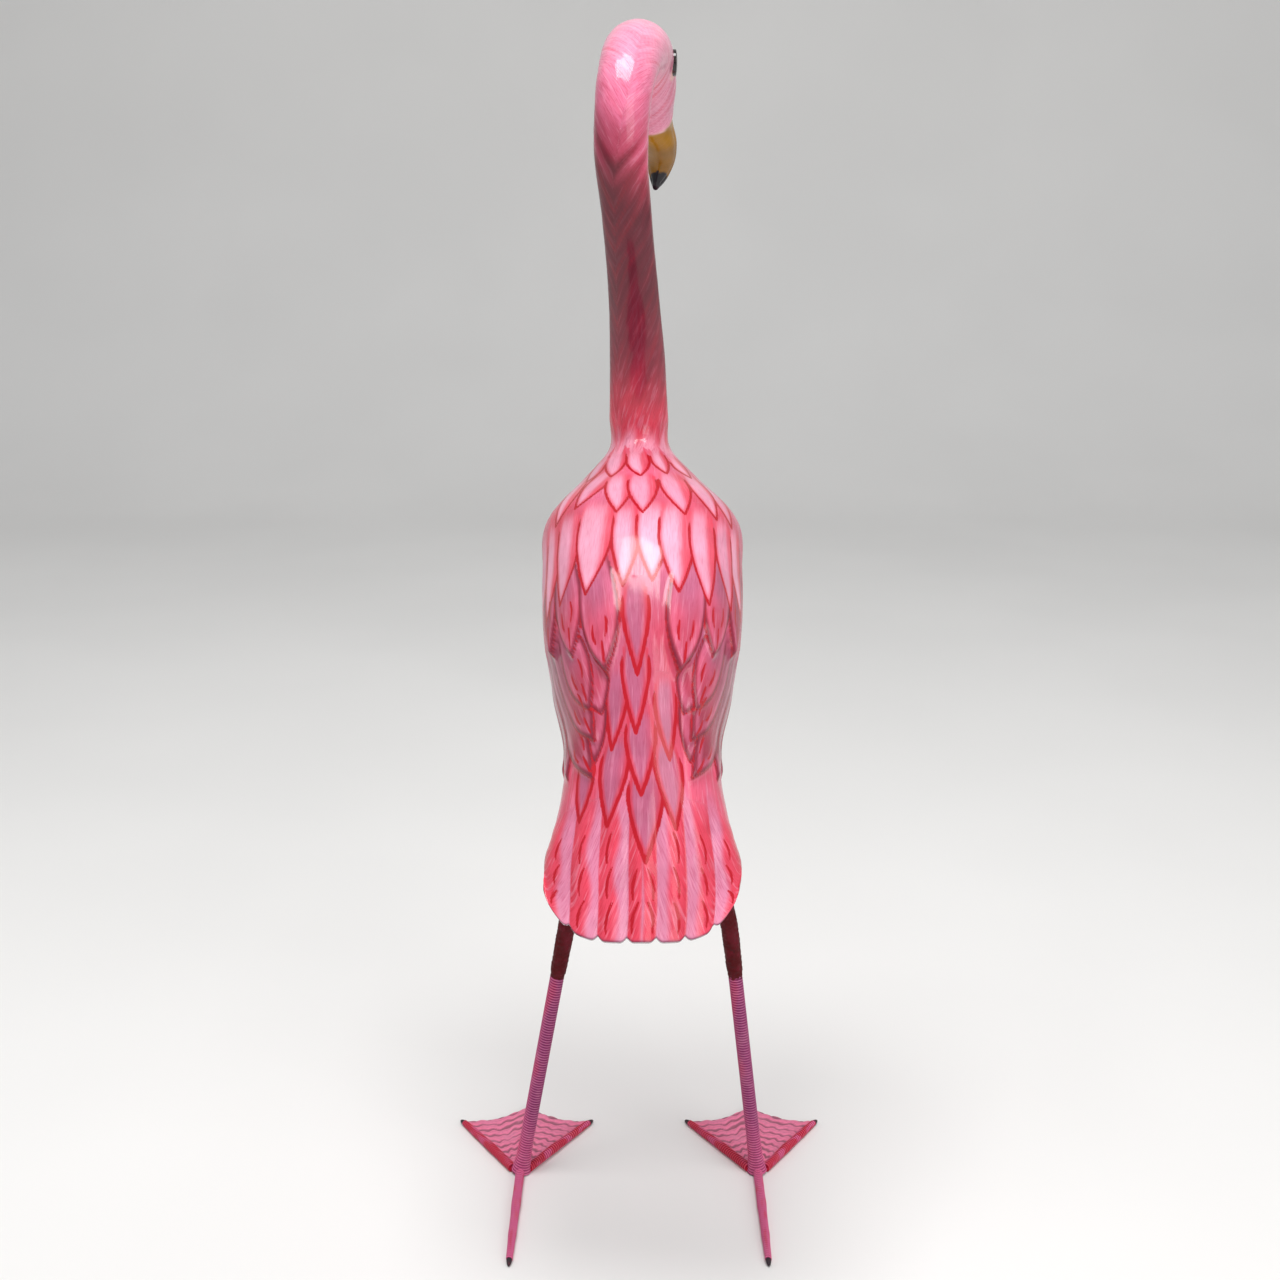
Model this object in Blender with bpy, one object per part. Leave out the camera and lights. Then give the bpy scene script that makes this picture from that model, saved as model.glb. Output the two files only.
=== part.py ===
"""A carved and painted wooden flamingo that stands on two wire legs with webbed feet.

Metres, +Z up. The bird faces -Y and its left side is at +X. The origin lies on the floor, under
the middle of the whole figure's bounding box.

The body, wings, tail, neck, head and bill are one carving, made as one skin that is lofted from
the tail end to the tip of the bill. Each leg is one piece: a webbed foot, a bound shank and a
thicker thigh, whose top is let into a round socket in the belly. The eyes are domed beads that
sit in round seats in the sides of the head.
"""
import math

import bmesh
import bpy
import numpy as np
from mathutils import Vector

MM = 0.001

# Whole figure
FIGURE_HEIGHT = 500 * MM

# Fits: the gap all round between a piece and the seat that it is let into
SEAT_GAP = 0.3 * MM

# Legs: the shank is measured over its binding
SHANK_DIAMETER = 6.4 * MM
THIGH_COAT = 0.6 * MM
THIGH_TOP_DIAMETER = 10 * MM
THIGH_ROOT_LENGTH = 28 * MM
ANKLE_DIAMETER = 9.5 * MM
ANKLE_HEIGHT = 10 * MM

# Feet
TOE_DIAMETER = 4.2 * MM
TOE_SPREAD = 65 * MM
OUTER_TOE_REACH = 38 * MM
MIDDLE_TOE_REACH = 50 * MM
CLAW_LENGTH = 3.5 * MM
HIND_TOE_REACH = 67 * MM
HIND_TOE_DIAMETER = 4.2 * MM
PALM_WIDTH_IN_TOES = 3.2
WEB_THICKNESS = 1.5 * MM
WEB_CORD_HEIGHT = 0.9 * MM
WEB_CORDS = 9
WEB_SAG = 3.5 * MM

# Eyes
EYE_DIAMETER = 10 * MM
EYE_DOME = 1.1 * MM
EYE_SEAT_DEPTH = 2.5 * MM

# Carving, as heights over the plain body
FEATHER_LIFT = 0.6 * MM
FEATHER_STEP = 0.22 * MM
FEATHER_SLOPE = 2.4 * MM
FEATHER_CROWN = 0.8 * MM
FLANK_DEPTH = 2.2 * MM
RUMP_DEPTH = 1.6 * MM
TAIL_FLUTE = 1.5 * MM
TAIL_NOTCH = 2.0 * MM
TAIL_FEATHERS = 7
CARVED_EDGE = 2.4 * MM

# Skin mesh: faces around the belly and the back of the body, and rings along each stretch of the
# bird. The neck and the head have half as many faces around.
BELLY_FACES = 2 * TAIL_FEATHERS
BACK_PER_BELLY_FACE = 3
BACK_FACES = BACK_PER_BELLY_FACE * BELLY_FACES
BODY_RINGS = 45
NECK_RINGS = 14
HEAD_RINGS = 24

# Profile of the bird in thousandths of the figure's height, from the tail end to the bill's tip.
# Each row joins a point of the upper edge to a point of the lower edge in the side view:
# upper y, upper z, lower y, lower z, half width, shift to the bird's left, arch of the section.
PROFILE = (
    (231, 351, 223, 346, 74, -1, 14),
    (221, 368, 206, 355, 75, -2, 16),
    (202, 398, 172, 364, 75, -2, 14),
    (183, 434, 132, 370, 70, -2, 10),
    (168, 468, 88, 378, 63, -2, 5),
    (153, 502, 40, 390, 61, -2, 0),
    (132, 542, -16, 414, 74, -2, 0),
    (104, 582, -66, 452, 83, -2, 0),
    (66, 620, -102, 502, 85, -2, 0),
    (24, 646, -120, 556, 81, -2, 0),
    (-14, 661, -124, 604, 51, -1, 0),
    (-36, 677, -112, 646, 27, 0, 0),
    (-40, 700, -90, 684, 25, 1, 0),
    (-20, 748, -66, 732, 23, 2, 0),
    (20, 804, -22, 788, 20, 5, 0),
    (58, 860, 18, 852, 19, 10, 0),
    (75, 904, 35, 902, 20, 14, 0),
    (67, 950, 27, 932, 21, 12, 0),
    (36, 985, 10, 948, 23, 7, 0),
    (-6, 1000, -10, 954, 25, 2, 0),
    (-50, 999, -31, 948, 26, -1, 0),
    (-86, 979, -46, 934, 25, -4, 0),
    (-107, 946, -58, 920, 20, -7, 0),
    (-116, 922, -70, 908, 16, -15, 0),
    (-115, 900, -82, 898, 12, -17, 0),
    (-103, 882, -85, 890, 7, -15, 0),
    (-91, 877, -86, 883, 3, -13, 0),
)
SHOULDER_ROW = 11
ARCH_ROW = 17
EYE_ROW = 20.1

# Wing feathers in thousandths of the figure's height, lowest first. Each has a root and a tip,
# given as the distance round the body from the middle of the back and the distance up the back
# from the tail end, then a half width.
WING_FEATHERS = (
    (132, 250, 100, 150, 17),
    (126, 250, 70, 134, 17),
    (114, 250, 38, 123, 17),
    (98, 250, 38, 152, 16),
    (80, 256, 42, 176, 16),
    (108, 320, 94, 232, 17),
    (76, 312, 60, 220, 17),
    (42, 304, 28, 200, 17),
)

# Carved areas in thousandths of the figure's height: distances round the body from the middle of
# the back, and pairs of distances up the back between which an area begins or ends
RUMP_EDGE = 36
WING_LOWER_EDGE = 128
FLANK_EDGE = 188
RUMP_BEGINS = (100, 170)
RUMP_ENDS = (190, 250)
FLANK_BEGINS = (140, 200)
FLANK_ENDS = (322, 372)
FLUTES_END = (70, 120)
FLAT_TAIL_ENDS = (60, 180)

# Tail end in thousandths of the figure's height: how far its corners are cut back, and how far up
# the tail the cut reaches
TAIL_CORNER_CUT = 40
TAIL_CUT_REACH = 110

# Stance in thousandths of the figure's height: where each leg stands, bends and enters the belly
LEGS = {
    "left": {"ankle": (111, 0), "knee": (65, 6, 252), "hip": (23, 20, 460)},
    "right": {"ankle": (-109, 0), "knee": (-79, 6, 256), "hip": (-23, 20, 460)},
}
THIGH_START = 209

TUBE_SIDES = 10
EYE_SIDES = 16


def share(value):
    """Length of a number of thousandths of the figure's height."""
    return value * FIGURE_HEIGHT / 1000


def srgb(red, green, blue):
    """Linear colour of an eight-bit screen colour."""
    return tuple((c / 255) ** 2.2 for c in (red, green, blue)) + (1.0,)


def finish(name, colour, roughness, metallic=0.0):
    """Principled material of one sub-part."""
    material = bpy.data.materials.new(name)
    material.use_nodes = True
    shader = material.node_tree.nodes["Principled BSDF"]
    shader.inputs["Base Color"].default_value = colour
    shader.inputs["Roughness"].default_value = roughness
    shader.inputs["Metallic"].default_value = metallic
    return material


def smoothstep(value):
    """Rise from 0 to 1 with level ends."""
    value = np.clip(value, 0.0, 1.0)
    return value * value * (3 - 2 * value)


def begins(distance, span):
    """Rise from 0 to 1 between two distances in thousandths of the figure's height."""
    start, end = share(span[0]), share(span[1])
    return smoothstep((distance - start) / (end - start))


def within(distance, edge):
    """1 inside a carved edge and 0 outside it, with the edge in thousandths of the height."""
    return smoothstep((share(edge) - distance) / CARVED_EDGE + 0.5)


def add_object(name, vertices, faces, material):
    """Object made from vertices and faces, with its faces turned outwards."""
    mesh = bpy.data.meshes.new(name)
    mesh.from_pydata([tuple(map(float, v)) for v in vertices], [], faces)
    shell = bmesh.new()
    shell.from_mesh(mesh)
    bmesh.ops.recalc_face_normals(shell, faces=shell.faces)
    shell.to_mesh(mesh)
    shell.free()
    mesh.materials.append(material)
    mesh.shade_smooth()
    mesh.set_sharp_from_angle(angle=math.radians(40))
    piece = bpy.data.objects.new(name, mesh)
    bpy.context.scene.collection.objects.link(piece)
    return piece


def apply_boolean(piece, other, operation):
    """Join another closed mesh to a piece, or cut it away, and remove the other."""
    modifier = piece.modifiers.new(operation.title(), "BOOLEAN")
    modifier.operation = operation
    modifier.object = other
    bpy.context.view_layer.update()
    evaluated = piece.evaluated_get(bpy.context.evaluated_depsgraph_get())
    result = bpy.data.meshes.new_from_object(evaluated)
    piece.modifiers.clear()
    piece.data = result
    bpy.data.objects.remove(other)


def smooth_profile(samples_per_row=24):
    """Profile rows joined by smooth curves, with the row number of each sample."""
    rows = np.array(PROFILE, dtype=float) * FIGURE_HEIGHT / 1000
    middle = (rows[:, 0:2] + rows[:, 2:4]) / 2
    knots = np.concatenate([[0], np.cumsum(np.linalg.norm(np.diff(middle, axis=0), axis=1))])
    gaps = np.diff(knots)[:, None]
    slopes = np.diff(rows, axis=0) / gaps
    tangents = np.vstack([
        slopes[:1],
        (slopes[:-1] * gaps[1:] + slopes[1:] * gaps[:-1]) / (gaps[:-1] + gaps[1:]),
        slopes[-1:],
    ])
    number = np.linspace(0, len(rows) - 1, (len(rows) - 1) * samples_per_row + 1)
    low = np.minimum(number.astype(int), len(rows) - 2)
    t = (number - low)[:, None]
    curve = ((2 * t**3 - 3 * t**2 + 1) * rows[low] + (t**3 - 2 * t**2 + t) * gaps[low] * tangents[low]
             + (3 * t**2 - 2 * t**3) * rows[low + 1] + (t**3 - t**2) * gaps[low] * tangents[low + 1])
    return number, curve


def ring_stations():
    """Distance up the back of each ring, and the profile there."""
    number, curve = smooth_profile()
    upper_steps = np.linalg.norm(np.diff(curve[:, 0:2], axis=0), axis=1)
    along = np.concatenate([[0], np.cumsum(upper_steps)])
    shoulder, arch = np.interp([SHOULDER_ROW, ARCH_ROW], number, along)
    rings = np.concatenate([
        np.linspace(0, shoulder, BODY_RINGS, endpoint=False),
        np.linspace(shoulder, arch, NECK_RINGS, endpoint=False),
        np.linspace(arch, along[-1], HEAD_RINGS),
    ])
    return rings, np.column_stack([np.interp(rings, along, column) for column in curve.T])


def section_angles(along):
    """Angle round each ring from the middle of the back: even steps of angle on the body, and
    even steps of width on the tail, so that each tail feather spans as many faces."""
    back = np.linspace(-1, 1, BACK_FACES + 1)
    belly = np.linspace(1, -1, BELLY_FACES + 1)[1:-1]
    even = np.concatenate([back * np.pi / 2, np.pi - belly * np.pi / 2])
    flat = np.concatenate([np.arcsin(back), np.pi - np.arcsin(belly)])
    tailness = 1 - begins(along, FLAT_TAIL_ENDS)
    return even + (flat - even) * tailness[:, None]


def feather_cover(across, along, root, tip, half_width):
    """How far a long feather covers each place, and the share of its length there: a leaf that
    widens over its first third and closes to a point over its last third."""
    axis = np.subtract(tip, root)
    length = math.hypot(*axis)
    lengthwise = ((across - root[0]) * axis[0] + (along - root[1]) * axis[1]) / length**2
    sideways = np.abs((across - root[0]) * axis[1] - (along - root[1]) * axis[0]) / length
    taper = np.sqrt(np.clip(1 - ((lengthwise - 0.55) / 0.45) ** 2, 0, 1))
    reach = half_width * np.where(lengthwise < 0.55, 1.0, taper)
    cover = smoothstep((reach - sideways) / CARVED_EDGE + 0.5)
    cover = cover * smoothstep(lengthwise * 4) * (lengthwise < 1.05)
    return cover, np.clip(lengthwise, 0, 1), np.clip(sideways / half_width, 0, 1)


def carve_wings(across, along):
    """Height of the folded wings: long feathers that lap over each other like shingles, each
    highest at its tip. The flank below the wings and the rump between them lie deeper."""
    across = np.abs(across)
    flank = (1 - within(across, WING_LOWER_EDGE)) * (1 - begins(across, (WING_LOWER_EDGE, FLANK_EDGE)))
    flank = flank * begins(along, FLANK_BEGINS) * (1 - begins(along, FLANK_ENDS))
    rump = within(across, RUMP_EDGE) * begins(along, RUMP_BEGINS) * (1 - begins(along, RUMP_ENDS))
    height = -FLANK_DEPTH * flank - RUMP_DEPTH * rump
    for layer, (root_side, root_up, tip_side, tip_up, half_width) in enumerate(WING_FEATHERS):
        root = (share(root_side), share(root_up))
        tip = (share(tip_side), share(tip_up))
        cover, lengthwise, sideways = feather_cover(across, along, root, tip, share(half_width))
        top = FEATHER_LIFT + FEATHER_STEP * layer - FEATHER_SLOPE * (1 - lengthwise)
        top = top + FEATHER_CROWN * (1 - sideways**2) * lengthwise
        height = height + (top - height) * cover
    return height


def carve_tail(width_share, along):
    """Height of the fluted tail feathers, which are rounded across and fan out from the rump."""
    feather = (width_share + 1) / 2 * TAIL_FEATHERS
    across = 2 * (feather - np.floor(np.minimum(feather, TAIL_FEATHERS - 1e-6))) - 1
    flute = TAIL_FLUTE * ((1 - across**2) - 0.6)
    return flute * (1 - begins(along, FLUTES_END))


def tail_end_cut(width_share):
    """How far the tail end is cut back: rounded corners, and a notch between each two feathers."""
    feather = (width_share + 1) / 2 * TAIL_FEATHERS
    across = 2 * (feather - np.round(feather))
    notch = TAIL_NOTCH * np.maximum(0, 1 - 2 * np.abs(across)) ** 2
    return share(TAIL_CORNER_CUT) * width_share**4 + notch


def bird_skin():
    """Points of the carved bird: one row of points for each ring, carved along their normals."""
    along, rows = ring_stations()
    upper, lower = rows[:, 0:2], rows[:, 2:4]
    middle = (upper + lower) / 2
    depth = np.linalg.norm(upper - lower, axis=1)[:, None] / 2
    out = (upper - lower) / (2 * depth)
    half_width, shift, arch = rows[:, 4:5], rows[:, 5:6], rows[:, 6:7]

    angle = section_angles(along)
    sine, cosine = np.sin(angle), np.cos(angle)
    x = shift + half_width * sine
    rise = depth * cosine - arch * sine**2
    y = middle[:, 0:1] + out[:, 0:1] * rise
    z = middle[:, 1:2] + out[:, 1:2] * rise
    points = np.stack([x, y, z], axis=-1)

    steps = np.linalg.norm(np.diff(points, axis=1, append=points[:, :1]), axis=2)
    reached = np.cumsum(steps, axis=1) - steps
    across = reached - reached[:, BACK_FACES // 2:BACK_FACES // 2 + 1]
    up = along[:, None] + 0 * across
    on_back = smoothstep(cosine * 4 + 0.8)
    height = carve_wings(across, up) * smoothstep(cosine + 1) + carve_tail(sine, up) * on_back

    side = sine / half_width
    lift = cosine / depth
    size = np.hypot(side, lift)
    normal = np.stack([side / size, out[:, 0:1] * lift / size, out[:, 1:2] * lift / size], axis=-1)
    points = points + normal * height[..., None]

    reach = share(TAIL_CUT_REACH)
    tail_run = np.append(0, middle[0] - middle[np.searchsorted(along, reach)])
    tail_run = tail_run / np.linalg.norm(tail_run)
    fade = np.clip(1 - up / reach, 0, 1)
    return points - (tail_end_cut(sine) * fade)[..., None] * tail_run


def cap_faces(start, back, belly):
    """Faces that close the end of the skin, across from the back to the belly, on the ring whose
    points begin at a given number."""
    faces = []
    for k in range(belly):
        over = [BACK_PER_BELLY_FACE * k + m for m in range(BACK_PER_BELLY_FACE + 1)]
        under = [(back + belly - k - m) % (back + belly) for m in (1, 0)]
        faces.append([start + i for i in dict.fromkeys(over + under)])
    return faces


def build_bird(material):
    """Carved bird: the skin's rings joined by faces, and closed at the tail end and the bill.
    Every second point is left out on the neck and the head."""
    points = bird_skin()
    body, neck = points[:BODY_RINGS], points[BODY_RINGS:, ::2]
    around, neck_around = body.shape[1], neck.shape[1]
    faces = cap_faces(0, BACK_FACES, BELLY_FACES)
    for ring in range(BODY_RINGS - 1):
        a, b = ring * around, (ring + 1) * around
        for i in range(around):
            j = (i + 1) % around
            faces.append((a + i, a + j, b + j, b + i))
    a, b = (BODY_RINGS - 1) * around, BODY_RINGS * around
    for i in range(neck_around):
        j = (i + 1) % neck_around
        faces.append((a + 2 * i, a + 2 * i + 1, a + 2 * j, b + j, b + i))
    for ring in range(len(neck) - 1):
        a = b + ring * neck_around
        for i in range(neck_around):
            j = (i + 1) % neck_around
            faces.append((a + i, a + j, a + neck_around + j, a + neck_around + i))
    faces += cap_faces(b + (len(neck) - 1) * neck_around, BACK_FACES // 2, BELLY_FACES // 2)
    return add_object("bird", np.vstack([body.reshape(-1, 3), neck.reshape(-1, 3)]), faces, material)


def tube(name, centres, radii, sides, material, normals=None, turn=0.5):
    """Closed tube through a list of centres, with a flat end at each end."""
    centres = [Vector(c) for c in centres]
    vertices = []
    for k, (centre, radius) in enumerate(zip(centres, radii)):
        before, after = centres[max(k - 1, 0)], centres[min(k + 1, len(centres) - 1)]
        run = Vector(normals[k]) if normals else (after - before).normalized()
        across = run.cross(Vector((0, 0, 1)) if abs(run.z) < 0.7 else Vector((0, 1, 0))).normalized()
        over = across.cross(run)
        for i in range(sides):
            angle = 2 * math.pi * (i + turn) / sides
            vertices.append(centre + radius * (across * math.cos(angle) + over * math.sin(angle)))
    faces = [tuple(range(sides)), tuple(range((len(centres) - 1) * sides, len(centres) * sides))]
    for k in range(len(centres) - 1):
        for i in range(sides):
            j = (i + 1) % sides
            faces.append((k * sides + i, k * sides + j, (k + 1) * sides + j, (k + 1) * sides + i))
    return add_object(name, vertices, faces, material)


def leg_line(side):
    """Points of a leg's middle line: floor, shank, thigh, and the straight root in the belly."""
    stance = LEGS[side]
    ankle = Vector((share(stance["ankle"][0]), share(stance["ankle"][1]), 0))
    knee = Vector([share(v) for v in stance["knee"]])
    hip = Vector([share(v) for v in stance["hip"]])
    root = (hip - knee).normalized()
    return ankle, knee, hip - root * THIGH_ROOT_LENGTH, hip, root


def build_leg(side, material):
    """Leg with its foot: a bound shank that flares into the ankle, a thigh and a webbed foot."""
    ankle, knee, belly, hip, root = leg_line(side)
    shank = (knee - ankle).normalized()
    shank_radius = SHANK_DIAMETER / 2
    thigh_radius = shank_radius + THIGH_COAT / 2
    top_radius = THIGH_TOP_DIAMETER / 2

    def on_shank(height):
        return ankle + shank * (height / shank.z)

    thigh_start = share(THIGH_START)
    knee_radius = thigh_radius + (top_radius - thigh_radius) * 0.25
    stations = (
        (on_shank(0.1 * ANKLE_HEIGHT), ANKLE_DIAMETER / 2, (0, 0, 1)),
        (on_shank(0.45 * ANKLE_HEIGHT), ANKLE_DIAMETER * 0.42, (0, 0, 1)),
        (on_shank(ANKLE_HEIGHT), shank_radius * 1.08, shank),
        (on_shank(2 * ANKLE_HEIGHT), shank_radius, shank),
        (on_shank(thigh_start - 4 * THIGH_COAT), shank_radius, shank),
        (on_shank(thigh_start), thigh_radius, shank),
        (knee, knee_radius, (shank + root).normalized()),
        (knee.lerp(belly, 0.5), (knee_radius + top_radius) * 0.48, root),
        (belly, top_radius, root),
        (hip, top_radius, root),
    )
    centres, radii, normals = zip(*stations)
    leg = tube("leg_" + side, centres, radii, TUBE_SIDES, material, normals)
    apply_boolean(leg, build_web(ankle, material), "UNION")
    apply_boolean(leg, build_hind_toe(ankle, material), "UNION")
    return leg


def web_half_line(row, rows):
    """Points of the left half of one line across the web, from the outer toe to the middle one.
    The odd lines run along the cords, and the last line ends in the claws."""
    toe = TOE_DIAMETER
    b = row / rows
    half = PALM_WIDTH_IN_TOES * toe / 2 * (1 - b) + TOE_SPREAD / 2 * b
    inner = half - toe
    sheet = inner - toe / 2
    cord = WEB_THICKNESS + WEB_CORD_HEIGHT * (row % 2)
    tip = 0.45 if row == rows else 1
    line = []
    for x, z, is_toe in (
        (half, toe * 0.35, False),
        (half - toe / 2, toe * tip, True),
        (inner, cord, False),
        (inner - sheet / 3, cord, False),
        (inner - sheet * 2 / 3, cord, False),
        (toe / 2, cord, False),
        (0, toe * tip, True),
    ):
        width_share = x / half
        front = MIDDLE_TOE_REACH + (OUTER_TOE_REACH - MIDDLE_TOE_REACH) * width_share
        front -= 0 if is_toe else WEB_SAG * math.sin(math.pi * width_share)
        claw = CLAW_LENGTH if is_toe and row == rows else 0
        line.append((x, -b * front - claw, z))
    return line


def build_web(ankle, material):
    """Webbed front of a foot, flat below: three toes with a sheet of cords strung between them."""
    rows = 2 * WEB_CORDS + 1
    grid = []
    for row in range(rows + 1):
        left = web_half_line(row, rows)
        grid.append(left + [(-x, y, z) for x, y, z in reversed(left[:-1])])
    columns = len(grid[0])
    top = [ankle + Vector(p) for line in grid for p in line]
    faces = []
    for row in range(rows):
        for i in range(columns - 1):
            a, b = row * columns + i, (row + 1) * columns + i
            faces.append((a, a + 1, b + 1, b))
    rim = list(range(columns))
    rim += [row * columns + columns - 1 for row in range(1, rows + 1)]
    rim += [rows * columns + i for i in range(columns - 2, -1, -1)]
    rim += [row * columns for row in range(rows - 1, 0, -1)]
    base = len(top)
    floor = [Vector((top[i].x, top[i].y, 0)) for i in rim]
    for k in range(len(rim)):
        m = (k + 1) % len(rim)
        faces.append((rim[k], rim[m], base + m, base + k))
    faces.append(tuple(base + k for k in range(len(rim))))
    return add_object("web", top + floor, faces, material)


def build_hind_toe(ankle, material):
    """Hind toe: a straight tapered tube that lies on the floor behind the ankle."""
    radius = HIND_TOE_DIAMETER / 2
    stations = (
        (0.02, radius),
        (0.5, radius * 0.92),
        (0.93, radius * 0.8),
        (1.0, radius * 0.35),
    )
    flat = math.cos(math.pi / 8)
    centres = [ankle + Vector((0, HIND_TOE_REACH * s, r * flat)) for s, r in stations]
    return tube("hind_toe", centres, [r for _, r in stations], 8, material, [(0, 1, 0)] * 4)


def cut_hip_socket(bird, side, material):
    """Round socket in the belly, a gap wider and deeper than the root of the thigh."""
    _, _, belly, hip, root = leg_line(side)
    centres = [belly - root * THIGH_ROOT_LENGTH / 2, hip + root * SEAT_GAP]
    outer = (THIGH_TOP_DIAMETER / 2 + SEAT_GAP) / math.cos(math.pi / TUBE_SIDES)
    cutter = tube("socket", centres, [outer] * 2, TUBE_SIDES, material, [root] * 2)
    apply_boolean(bird, cutter, "DIFFERENCE")


def eye_place(side):
    """Point on the head's side where an eye sits, and the direction that it looks."""
    number, curve = smooth_profile()
    row = [float(np.interp(EYE_ROW, number, column)) for column in curve.T]
    outward = 1 if side == "left" else -1
    middle_y, middle_z = (row[0] + row[2]) / 2, (row[1] + row[3]) / 2
    return Vector((row[5] + outward * row[4], middle_y, middle_z)), Vector((outward, 0, 0))


def build_eye(side, material):
    """Domed bead: a short round plug with a dome that stands out of the head."""
    place, outward = eye_place(side)
    radius = EYE_DIAMETER / 2
    rim = 0.3 * EYE_DOME
    stations = [(-EYE_SEAT_DEPTH, radius), (rim, radius)]
    for turn in (30, 55, 78):
        angle = math.radians(turn)
        stations.append((rim + (EYE_DOME - rim) * math.sin(angle), radius * math.cos(angle)))
    centres = [place + outward * out for out, _ in stations]
    return tube("eye_" + side, centres, [r for _, r in stations], EYE_SIDES, material,
                [outward] * len(stations))


def cut_eye_seat(bird, side, material):
    """Round seat in the head, a gap wider and deeper than the eye's plug."""
    place, outward = eye_place(side)
    centres = [place - outward * (EYE_SEAT_DEPTH + SEAT_GAP), place + outward * EYE_DIAMETER / 2]
    outer = (EYE_DIAMETER / 2 + SEAT_GAP) / math.cos(math.pi / EYE_SIDES)
    cutter = tube("seat", centres, [outer] * 2, EYE_SIDES, material, [outward] * 2)
    apply_boolean(bird, cutter, "DIFFERENCE")


def centre_on_origin(pieces):
    """Move the figure so that the origin lies under the middle of its bounding box."""
    corners = np.array([v.co for piece in pieces for v in piece.data.vertices])
    middle = (corners.min(axis=0) + corners.max(axis=0)) / 2
    for piece in pieces:
        piece.location = (-middle[0], -middle[1], 0)


def main():
    for old in list(bpy.data.objects):
        bpy.data.objects.remove(old)
    paint = finish("painted_wood", srgb(238, 140, 160), 0.28)
    binding = finish("painted_binding", srgb(190, 105, 140), 0.55)
    bead = finish("eye_bead", srgb(40, 34, 36), 0.08)

    bird = build_bird(paint)
    pieces = [bird]
    for side in LEGS:
        pieces.append(build_leg(side, binding))
        cut_hip_socket(bird, side, paint)
        pieces.append(build_eye(side, bead))
        cut_eye_seat(bird, side, paint)
    centre_on_origin(pieces)


main()
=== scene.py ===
"""Dresses the carved flamingo: the carving with its painted feathers, the two bound wire legs with
their webbed feet, and the bead eyes, on a pale floor in soft studio light.

Metres, +Z up. The bird faces -Y, and the camera looks at its back from +Y.
"""
import logging
import math
from dataclasses import dataclass, field
from enum import Enum, IntEnum

import bpy
import numpy as np
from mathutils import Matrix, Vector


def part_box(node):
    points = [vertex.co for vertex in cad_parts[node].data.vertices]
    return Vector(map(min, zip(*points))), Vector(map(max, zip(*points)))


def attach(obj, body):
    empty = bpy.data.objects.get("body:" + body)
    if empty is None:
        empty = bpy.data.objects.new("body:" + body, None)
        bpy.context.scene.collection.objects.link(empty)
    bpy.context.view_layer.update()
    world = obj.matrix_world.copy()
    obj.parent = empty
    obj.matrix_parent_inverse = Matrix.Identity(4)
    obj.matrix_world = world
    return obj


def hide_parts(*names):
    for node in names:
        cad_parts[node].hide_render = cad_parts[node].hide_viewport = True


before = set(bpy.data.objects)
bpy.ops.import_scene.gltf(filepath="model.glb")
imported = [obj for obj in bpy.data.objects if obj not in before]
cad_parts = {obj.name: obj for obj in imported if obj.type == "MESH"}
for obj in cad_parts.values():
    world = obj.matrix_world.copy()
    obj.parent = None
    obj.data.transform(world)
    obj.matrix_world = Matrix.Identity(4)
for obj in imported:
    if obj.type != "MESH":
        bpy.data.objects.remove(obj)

MM = 0.001
# Distance in millimetres at which an outline or a painted line no longer shows.
FAR = 9.0
UP = np.array([0.0, 0.0, 1.0])
SHARP_ANGLE = math.radians(50)
# The values between which a noise node mostly stays.
NOISE_SPAN = (0.3, 0.7)
log = logging.getLogger("flamingo")

Array = np.ndarray
Socket = bpy.types.NodeSocket


class Colour(Enum):
    """Paints of the figure, as eight-bit screen colours."""

    BLUSH = (231, 125, 161)
    LILAC = (202, 108, 142)
    PALE = (250, 172, 198)
    CORAL = (226, 66, 88)
    CRIMSON = (184, 18, 38)
    WINE = (82, 8, 32)
    ROSE = (134, 38, 60)
    # Painted shade on the end face of the tail.
    TAIL_END_SHADE = (94, 44, 68)
    MUSTARD = (174, 121, 8)
    OCHRE = (112, 74, 8)
    BILL_BLACK = (26, 20, 28)
    CREAM = (240, 206, 178)
    THREAD = (160, 74, 124)
    THREAD_PINK = (226, 100, 148)
    THREAD_RED = (206, 40, 62)
    WEB_PINK = (246, 112, 154)
    # Dark wine for the fibres of the thread, and for painted shade in the grooves of bindings.
    GROOVE = (92, 8, 44)
    THIGH = (82, 12, 20)
    CLAW = (58, 48, 54)
    BEAD = (26, 20, 22)
    FLOOR = (240, 239, 237)

    @property
    def linear(self) -> Array:
        """Linear red, green, blue and alpha of the paint."""
        return np.append((np.array(self.value) / 255) ** 2.2, 1.0)


class Seed(IntEnum):
    """Numbers that pick the wandering of each kind of noise."""

    TAIL = 3
    GOUGE = 5
    GROUND = 11
    NECK = 21
    HAIR = 22
    BILL = 31
    THREAD = 41
    COAT = 43
    GRIT = 44
    WEB = 51
    FRONT_TOES = 61
    HIND_TOE = 71


def smoothstep(value: Array) -> Array:
    """Rise from 0 to 1 with level ends: 3t^2 - 2t^3 of the value kept between 0 and 1."""
    t = np.clip(value, 0.0, 1.0)
    return t * t * (3 - 2 * t)


def band(value: Array, low: float, high: float) -> Array:
    """Smooth rise from 0 at the low value to 1 at the high one."""
    return smoothstep((value - low) / (high - low))


def window(value: Array, rise: tuple[float, float], fall: tuple[float, float]) -> Array:
    """Smooth rise from 0 to 1 over the first pair of values, and back to 0 over the second."""
    return band(value, *rise) * (1 - band(value, *fall))


def soften(height: Array) -> Array:
    """Mean of each height with those round it, by weights of 1, 2 and 1 in both directions."""
    around = (np.roll(height, 1, axis=1) + 2 * height + np.roll(height, -1, axis=1)) / 4
    inner = (around[:-2] + 2 * around[1:-1] + around[2:]) / 4
    return np.concatenate([around[:1], inner, around[-1:]])


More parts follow.
